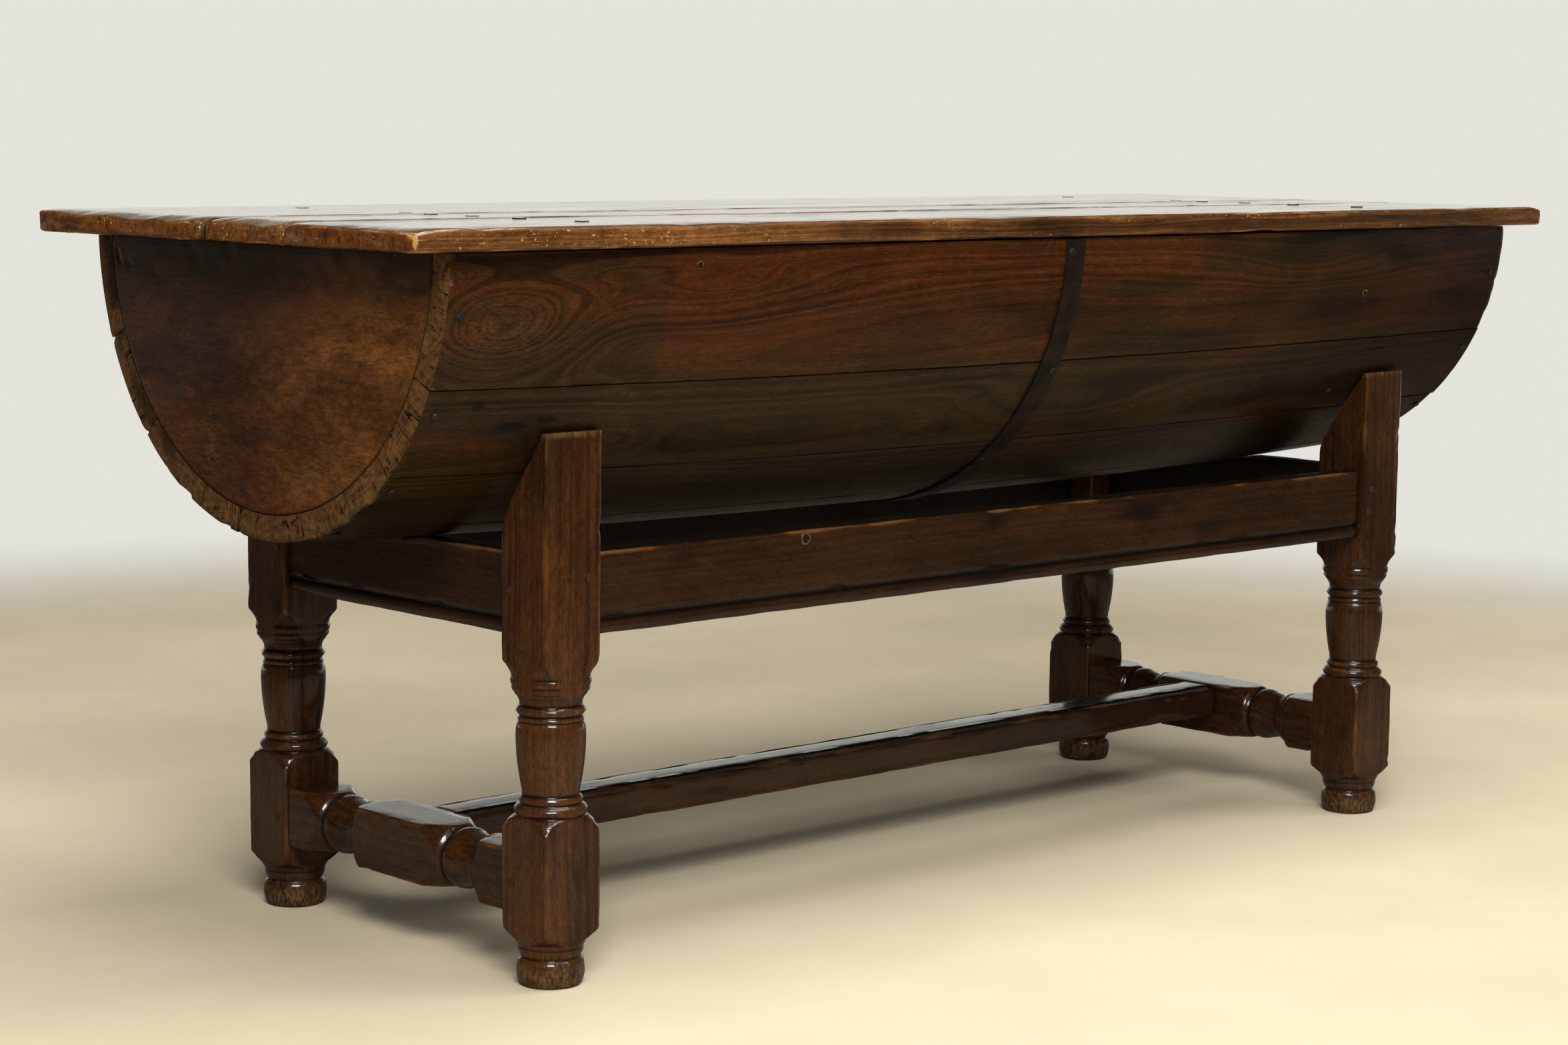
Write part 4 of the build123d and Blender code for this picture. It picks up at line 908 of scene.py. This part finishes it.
def addLeg(name, sx, sy, seed):
    size, height = leg["size"], leg["height"]
    low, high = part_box(name)
    centre = np.array([(low[0] + high[0]) / 2, (low[1] + high[1]) / 2, 0])
    flat, faces, arris, hollow = turnedStock(height, size, leg["ease"], legRows, seed, leg["wear"])
    h, px, py = flat.T
    half = size / 2
    share = np.clip((h - (height - leg["cutDepth"])) / leg["cutDepth"], 0, 1)
    inside = -half + (size - leg["topThickness"]) * share
    inside -= leg["cutBow"] * 6.75 * share * (1 - share) ** 2
    moved = half - (half - py * sy) * (half - inside) / size  # sy points to the outer face of the stand
    squared = fadeIn(35, 40, np.maximum(np.abs(px), np.abs(py)) * 1.14)
    py = np.where(share > 0, moved * sy, py)
    spot = np.stack([h, px, py], 1) + seed * 91
    dry = fadeOut(8, 40, h) * 0.75 + 0.1 * patchy(spot, stand["legDust"], seed)
    # painted shade: every leg but the front left one takes more of the darker second colour
    far = 0.5 if sx > 0 or sy > 0 else 0.0
    second = far + 0.5 * squared * patchy(spot, stand["legSecond"], seed)
    addWood("stand", name + "_turned", np.stack([px, py, h], 1) * mm + centre, faces,
            np.stack([h + seed * 811, px + 70, py - 60], 1), arris,
            (second, most(turnedGrime(hollow, spot, seed), 0.8 * fadeOut(0, 5, h)), dry),
            fadeIn(height - 1, height, h), [name])


for seed, (place, sx, sy) in enumerate((("front_left", -1, -1), ("front_right", 1, -1),
                                        ("back_left", -1, 1), ("back_right", 1, 1))):
    addLeg("leg_" + place, sx, sy, seed + 61)
print("legs turned")

crossStretcher = {"size": 64.0, "ease": 2.6, "axisZ": 102.0, "starts": (36.0, -128.0), "square": 46.0,
                  "wear": {"face": 0.35, "arris": 0.8, "chip": 1.2}}
stretcherRows = (
    (0, 46, 0), (4, 43.0, 0.6), (8, 39.2, 0.5), (11, 35.0, 0), (12, 32.8, 0), (12.6, 33.0, 0.9),
    (16.4, 32.8, 0), (17.2, 31.6, 0), (18, 31.8, 0.9), (21.8, 31.0, 0), (22.8, 28.4, -1.4), (37, 26.8, 0),
    (50, 29.4, 1.7), (66, 30.4, 0), (67.5, 28.2, 0), (69, 27.2, 0), (71, 27.6, 0), (73, 31.4, 0),
    (75, 33.0, 0), (105, 46.4, 0))


def addCrossStretcher(name, legName, seed):
    low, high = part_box(legName)
    backLow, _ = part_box(legName.replace("front", "back"))
    length = (backLow[1] - high[1]) / mm
    turned = [(start % length + along, radius, swell) for start in crossStretcher["starts"]
              for along, radius, swell in stretcherRows]
    rows = [(0.0, crossStretcher["square"], 0), *turned, (length, crossStretcher["square"], 0)]
    flat, faces, arris, hollow = turnedStock(length, crossStretcher["size"], crossStretcher["ease"], rows,
                                             seed, crossStretcher["wear"])
    h, px, pz = flat.T
    centreX = (low[0] + high[0]) / 2
    points = np.stack([centreX - px * mm, high[1] + h * mm, (crossStretcher["axisZ"] + pz) * mm], 1)
    spot = flat + seed * 91
    tone = (0.55 + 0.4 * roughNoise(spot, stand["crossSecond"], seed + 8), turnedGrime(hollow, spot, seed),
            0.1 * patchy(spot, stand["crossDust"], seed))
    addWood("stand", name + "_turned", points, faces, flat + [seed * 811, 60, -50], arris, tone, 0.0, [name])


addCrossStretcher("stretcher_left", "leg_front_left", 71)
addCrossStretcher("stretcher_right", "leg_front_right", 73)
print("cross stretchers turned")


# Moulded stock: a closed section, swept along its length.
def resample(section, step=5.0):  # a closed section with points no further apart than step
    points = []
    for a, b in zip(section, section[1:] + section[:1]):
        count = max(1, int(math.dist(a, b) / step))
        points += [(a[0] + (b[0] - a[0]) * k / count, a[1] + (b[1] - a[1]) * k / count) for k in range(count)]
    return np.array(points)


def unit(rows):
    return rows / np.linalg.norm(rows, axis=1, keepdims=True)


def sweptStock(section, length, seed, wear):
    # section goes round with the wood on its left; returns along, across, up and how sharp each point is
    step = 8.0
    ahead = unit(np.roll(section, -1, axis=0) - section)
    behind = unit(section - np.roll(section, 1, axis=0))
    tangent = unit(ahead + behind)
    normal = np.stack([tangent[:, 1], -tangent[:, 0]], 1)
    turn = behind[:, 0] * ahead[:, 1] - behind[:, 1] * ahead[:, 0]
    sharp, soak = np.zeros((2, len(section)))
    for corner in np.nonzero(np.abs(turn) > 0.15)[0]:
        near = np.exp(-(np.linalg.norm(section - section[corner], axis=1) / 3.5) ** 2)
        mark = sharp if turn[corner] > 0 else soak
        np.maximum(mark, near, out=mark)
    u = np.linspace(0, length, max(2, round(length / step)) + 1)
    rings = len(u)
    flat = np.stack([np.repeat(u, len(section)), *np.tile(section.T, rings)], 1)
    arris = np.tile(sharp, rings)
    place = flat + seed * 517.3
    depth = wear["face"] * roughNoise(place, (90, 26, 26), seed)
    depth += wear["arris"] * arris * roughNoise(place, (34, 20, 20), seed + 5) ** 2 * 2
    sparse = fadeIn(0.5, 0.66, softNoise(place, (90, 40, 40), seed + 11))
    depth += wear["chip"] * arris * sparse * patchy(place, stand["mouldChips"], seed)
    worn = flat.copy()
    worn[:, 1:] -= np.tile(normal, (rings, 1)) * depth[:, None]
    index = np.arange(len(flat)).reshape(rings, len(section))
    beside = np.roll(index, -1, axis=1)
    quads = np.stack([index[:-1], index[1:], beside[1:], beside[:-1]], -1).reshape(-1, 4)
    faces = [*quads.tolist(), index[0].tolist(), index[-1][::-1].tolist()]
    return worn, faces, arris, np.tile(soak, rings), flat


rail = {"height": 82.0, "thickness": 28.0, "ease": 2.0, "bead": 15.0, "quirk": 2.0, "quirkDepth": 3.0,
        "bottom": 345.0, "cradleGap": 0.3, "wear": {"face": 0.4, "arris": 0.8, "chip": 0.8}}


def railSection():  # outer face at 0, wood towards negative; seen with the outer face on the right
    top, back, ease = rail["height"], -rail["thickness"], rail["ease"]
    bead, deep = rail["bead"], rail["quirkDepth"]
    section = [(back + 1, 0), (-deep - 0.5, 0)]
    for t in np.radians(np.linspace(-90, 90, 13)[1:-1]):
        section.append((-deep - 0.5 + (deep + 0.3) * math.cos(t), bead / 2 + bead / 2 * math.sin(t)))
    quirkTop = bead + rail["quirk"]
    section += [(-deep, bead), (-deep, quirkTop), (-0.5, quirkTop), (0, quirkTop + 0.5)]
    section += [(-ease + ease * math.cos(t), top - ease + ease * math.sin(t))
                for t in np.radians(np.linspace(0, 90, 5))]
    return resample(section + [(back + 1, top), (back, top - 1), (back, 1)])


def addRail(name, seed):
    low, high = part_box(name)
    left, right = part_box("leg_front_left"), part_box("leg_front_right")
    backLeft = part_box("leg_back_left")
    endRail = name in ("rail_left", "rail_right")
    side = 1 if name in ("rail_back", "rail_right") else -1
    length = (backLeft[0][1] - left[1][1] if endRail else right[0][0] - left[1][0]) / mm
    worn, faces, arris, soak, flat = sweptStock(railSection(), length, seed, rail["wear"])
    u, across, up = worn.T
    z = up + rail["bottom"]
    outerFace = (high if side > 0 else low)[0 if endRail else 1] + side * across * mm
    if endRail:
        y = left[1][1] + u * mm
        reach = barrelRadius(outerFace / mm - barrel["middleX"]) + rail["cradleGap"]
        dish = barrel["axisZ"] - np.sqrt(np.maximum(reach**2 - (y / mm) ** 2, 0))
        z = np.where(up > 76, np.minimum(z, dish - (rail["height"] - up)), z)
        points = np.stack([outerFace, y, z * mm], 1)
    else:
        points = np.stack([left[1][0] + u * mm, outerFace, z * mm], 1)
    if (side < 0) != endRail:
        faces = [face[::-1] for face in faces]
    along, out, rise = flat.T
    spot = flat + seed * 91
    onTop = fadeIn(rail["height"] - 3, rail["height"], rise)
    # grime in the quirks and in patches; the top face darker as dark polish and painted shade of the barrel
    # above it; the inner face darker as painted shade inside the stand
    grime = most(np.clip(soak, 0, 1) * 0.9 + 0.5 * patchy(spot, stand["longGrime"], seed),
                 0.9 * onTop * fadeIn(-1.5, -5, out), 0.8 * fadeIn(-20, -26, out))
    dry = 0.08 * patchy(spot, stand["railDust"], seed) * (1 - onTop)
    addWood("stand", name + "_moulded", points, faces, np.stack([along + seed * 811, rise + 20, out - 60], 1),
            arris * np.where(rise < 20, 0.35, 1.25),
            (0.7 + 0.4 * roughNoise(spot, stand["longSecond"], seed + 8), grime + 0.26, dry), 0.0, [name])


for seed, name in enumerate(("rail_front", "rail_back", "rail_left", "rail_right")):
    addRail(name, seed + 81)

longStretcher = {"width": 62.0, "height": 37.0, "top": 133.0, "moulding": 13.0, "beadStep": 2.2, "bead": 5.0,
                 "hollowRise": 4.0, "wear": {"face": 0.5, "arris": 1.0, "chip": 0.9}}


def longSection():  # flat top between two moulded edges
    top, bead, step = longStretcher["height"], longStretcher["bead"], longStretcher["beadStep"]
    half, low = longStretcher["width"] / 2, top - 2 * step
    inner = half - longStretcher["moulding"]
    right = [(half - 1.5, 0), (half, 1.5), (half, low)]
    right += [(half - bead / 2 + bead / 2 * math.cos(t), low + step * math.sin(t))
              for t in np.linspace(0, math.pi, 8)[1:]]
    right += [(half - bead - (longStretcher["moulding"] - bead) * k,
               low + step * k + longStretcher["hollowRise"] * k * (1 - k)) for k in np.linspace(0, 1, 6)[1:]]
    right += [(inner, top - 0.4), (inner - 0.4, top)]
    return resample(right + [(-x, y) for x, y in reversed(right)])


def addLongStretcher(seed):
    left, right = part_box("leg_front_left"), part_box("leg_front_right")
    start = (left[0][0] + left[1][0]) / 2 / mm + crossStretcher["size"] / 2
    end = (right[0][0] + right[1][0]) / 2 / mm - crossStretcher["size"] / 2
    worn, faces, arris, soak, flat = sweptStock(longSection(), end - start, seed, longStretcher["wear"])
    u, across, up = worn.T
    points = np.stack([start + u, across, up + longStretcher["top"] - longStretcher["height"]], 1) * mm
    spot = flat + seed * 91
    grime = 0.2 + np.clip(soak, 0, 1) * 0.8 + 0.4 * patchy(spot, stand["longGrime"], seed)
    tone = (0.45 + 0.5 * roughNoise(spot, stand["longSecond"], seed + 8), grime,
            0.1 * patchy(spot, stand["longDust"], seed))
    addWood("stand", "stretcher_long_moulded", points, faces, flat + [seed * 811, 20, -90], arris, tone, 0.0,
            ["stretcher_long"])


addLongStretcher(91)
print("rails and stretcher moulded")


# Iron band: a thin strip bent round the staves; drops and corners are at its front and back ends.
band = {"x": 10.0, "width": 28.0, "thickness": 2.5, "gap": 0.05, "drops": (1.2, 8.0), "corners": (0.6, 8.0),
        "eases": (0.5, 0.5, 0.5, 0.4), "step": (6, 5, 2),
        "wear": {"face": 0.2, "faceSize": (60, 20, 30), "arris": 0.2, "arrisSize": (30, 12, 9),
                 "arrisWidth": 2, "chip": 0.0, "zone": 10}}


def addBand():
    first, last = (math.asin((rimDrop + drop) / barrel["radius"]) for drop in band["drops"])
    length = (math.pi - first - last) * barrel["radius"]
    worn, faces, *_ = wornBlock((length, band["width"], band["thickness"]), band["eases"], band["step"],
                                band["wear"], 95)
    u, v, w = worn.T
    corner = np.where(u < length / 2, *band["corners"])
    short = np.clip(corner - np.minimum(u, length - u), 0, corner)
    narrow = corner - np.sqrt(corner**2 - short**2)
    middle = band["width"] / 2
    x = band["x"] + (v - middle) * (middle - narrow) / middle
    points = onBarrel(x, first + u / barrel["radius"], barrel["radius"] + band["gap"] + w)
    addPiece("iron_band_forged", points, faces, ironFinish, "trough", "iron", ["iron_band"], {})


addBand()
print("band bent")


# Plugs set flush in the wood: centre, outward direction, radius and height, in mm.
def addPlug(kind, name, centre, outward, radius, height):
    outward = Vector(outward).normalized()
    side = outward.orthogonal().normalized()
    over = outward.cross(side)
    rings = ((1.0, -0.8), (1.0, height * 0.6), (0.84, height), (0.66, height * 0.7), (0.3, height * 0.8))
    points, pale = [], []
    for share, lift in rings:
        for turn in np.linspace(0, 2 * math.pi, 21)[:-1]:
            wobble = radius * share * (1 + 0.06 * math.sin(3 * turn + radius) + 0.04 * math.sin(5 * turn + 2))
            way = side * math.cos(turn) + over * math.sin(turn)
            points.append(Vector(centre) + outward * lift + way * wobble)
            pale.append((0.0, 0.0, 1.0) if share > 0.7 else (0.0, 0.75, 0.0))
    points = np.array(points)
    index = np.arange(len(points)).reshape(len(rings), -1)
    addWood(kind, name, points * mm, tubeFaces(index, np.roll(index, -1, axis=1)), points,
            np.zeros(len(points)), np.array(pale).T, 0.4)


plugs = {"rail": {"x": -312.0, "z": 418.0, "sunk": 0.2, "radius": 6.5, "height": 1.2},
         "staves": ((-515.6, 5.0, 4.5), (536.4, 15.9, 4.5), (558.8, 41.5, 3.0)), "staveHeight": 0.5}
railPlug = plugs["rail"]
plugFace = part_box("rail_front")[0][1] / mm + railPlug["sunk"]
addPlug("stand", "rail_plug", (railPlug["x"], plugFace, railPlug["z"]), (0, -1, 0), railPlug["radius"],
        railPlug["height"])
for count, (along, degrees, radius) in enumerate(plugs["staves"]):
    turn, reach = math.radians(degrees), barrelRadius(along)
    centre = onBarrel(np.array([along]), np.array([turn]), np.array([reach]))[0] / mm
    addPlug("stave", f"stave_plug_{count + 1}", centre, (0, -math.cos(turn), -math.sin(turn)), radius,
            plugs["staveHeight"])
print("plugs set")


# Room: a pale floor that fades into a pale wall colour, soft light.
room = {"wall": (0.77, 0.77, 0.71), "floor": (0.84, 0.71, 0.49), "reach": 14.0, "below": 0.0005,
        "fadeFrom": 2.0, "fadeTo": 3.2, "ambient": 0.2, "behind": 1.12, "front": 0.025,
        "paleWall": (0.678, 0.735, 0.0)}


def paleWallSide(direction):  # how far a direction points to the pale wall
    inputs = {0: direction, 1: room["paleWall"]}
    return put(treeOf(direction), "VectorMath", inputs, operation="DOT_PRODUCT").outputs["Value"]


def addFloor():
    mesh = bpy.data.meshes.new("floor")
    turns = np.linspace(0, 2 * math.pi, 97)[:-1]
    reach = room["reach"]
    corners = [(reach * math.cos(t), reach * math.sin(t), -room["below"]) for t in turns]
    mesh.from_pydata(corners, [], [list(range(len(corners)))])
    floor = bpy.data.objects.new("floor", mesh)
    bpy.context.scene.collection.objects.link(floor)
    material = bpy.data.materials.new("pale floor")
    material.use_nodes = True
    tree = material.node_tree
    shader = tree.nodes["Principled BSDF"]
    where = put(tree, "TexCoord").outputs["Object"]
    patches = spread(noise(where, (2.2, 2.2, 0.0), 6.0, 0.62), 0.35, 0.65)
    tone = mixColour(patches, colour(room["floor"]), colour([c * 0.92 for c in room["floor"]]))
    rays = put(tree, "LightPath").outputs
    away = put(tree, "VectorMath", {0: where}, operation="LENGTH").outputs["Value"]
    shadeInReflections = times(rays["Is Glossy Ray"], spread(away, 1.0, 2.4, 0.78, 0.96))
    tone = mixColour(shadeInReflections, tone, (0, 0, 0, 1))  # painted shade: the floor is darker only where the wax reflects it
    tree.links.new(tone, shader.inputs["Base Color"])
    shader.inputs["Roughness"].default_value = 0.7
    behind = spread(paleWallSide(where), 1.2, 2.2)
    shown = calc("MAXIMUM", rays["Is Camera Ray"], times(rays["Is Glossy Ray"], behind))
    fade = times(spread(away, room["fadeFrom"], room["fadeTo"]), shown)
    glow = put(tree, "Emission", {"Color": colour(room["wall"]), "Strength": 1.0}).outputs[0]
    mixed = put(tree, "MixShader", {0: fade, 1: shader.outputs[0], 2: glow}).outputs[0]
    tree.links.new(mixed, tree.nodes["Material Output"].inputs["Surface"])
    mesh.materials.append(material)


def addWorld():
    world = bpy.data.worlds.new("room")
    bpy.context.scene.world = world
    world.use_nodes = True
    tree = world.node_tree
    tree.nodes.clear()
    rays = put(tree, "LightPath").outputs
    way = put(tree, "TexCoord").outputs["Generated"]
    mirrored = spread(paleWallSide(way), 0.70, 0.93, room["front"], room["behind"])
    upward = put(tree, "SeparateXYZ", {0: way}).outputs[2]
    mirrored = times(mirrored, spread(upward, 0.14, 0.25, 1.0, 0.3))
    gloss = calc("MAXIMUM", rays["Is Glossy Ray"], rays["Is Transmission Ray"])
    level = plus(room["ambient"], times(gloss, minus(mirrored, room["ambient"])))
    level = plus(level, times(rays["Is Camera Ray"], minus(1.0, level)))
    glow = put(tree, "Background", {"Color": colour(room["wall"]), "Strength": level}).outputs[0]
    tree.links.new(glow, put(tree, "OutputWorld").inputs["Surface"])


lamps = {
    "key": {"place": (-2.6, -3.2, 3.3), "aim": (-0.2, 0, 0.3), "size": (1.8, 1.4), "power": 175},
    "fill": {"place": (3.2, -2.8, 2.6), "aim": (0.2, 0, 0.3), "size": (1.8, 1.8), "power": 32,
             "mirrored": False},
    "above": {"place": (0.0, -0.8, 3.8), "aim": (0, -0.4, 0.5), "size": (3.0, 2.0), "power": 105}}


def addLamp(name, place, aim, size, power, mirrored=True):
    data = bpy.data.lights.new(name, "AREA")
    data.shape = "RECTANGLE"
    data.size, data.size_y = size
    data.energy = power
    lamp = bpy.data.objects.new(name, data)
    lamp.location = place
    lamp.visible_glossy = mirrored
    lamp.rotation_euler = (Vector(aim) - Vector(place)).to_track_quat("-Z", "Y").to_euler()
    bpy.context.scene.collection.objects.link(lamp)


addFloor()
addWorld()
for name, lamp in lamps.items():
    addLamp(name, **lamp)
bpy.context.scene.view_settings.view_transform = "Standard"
print("room lit")
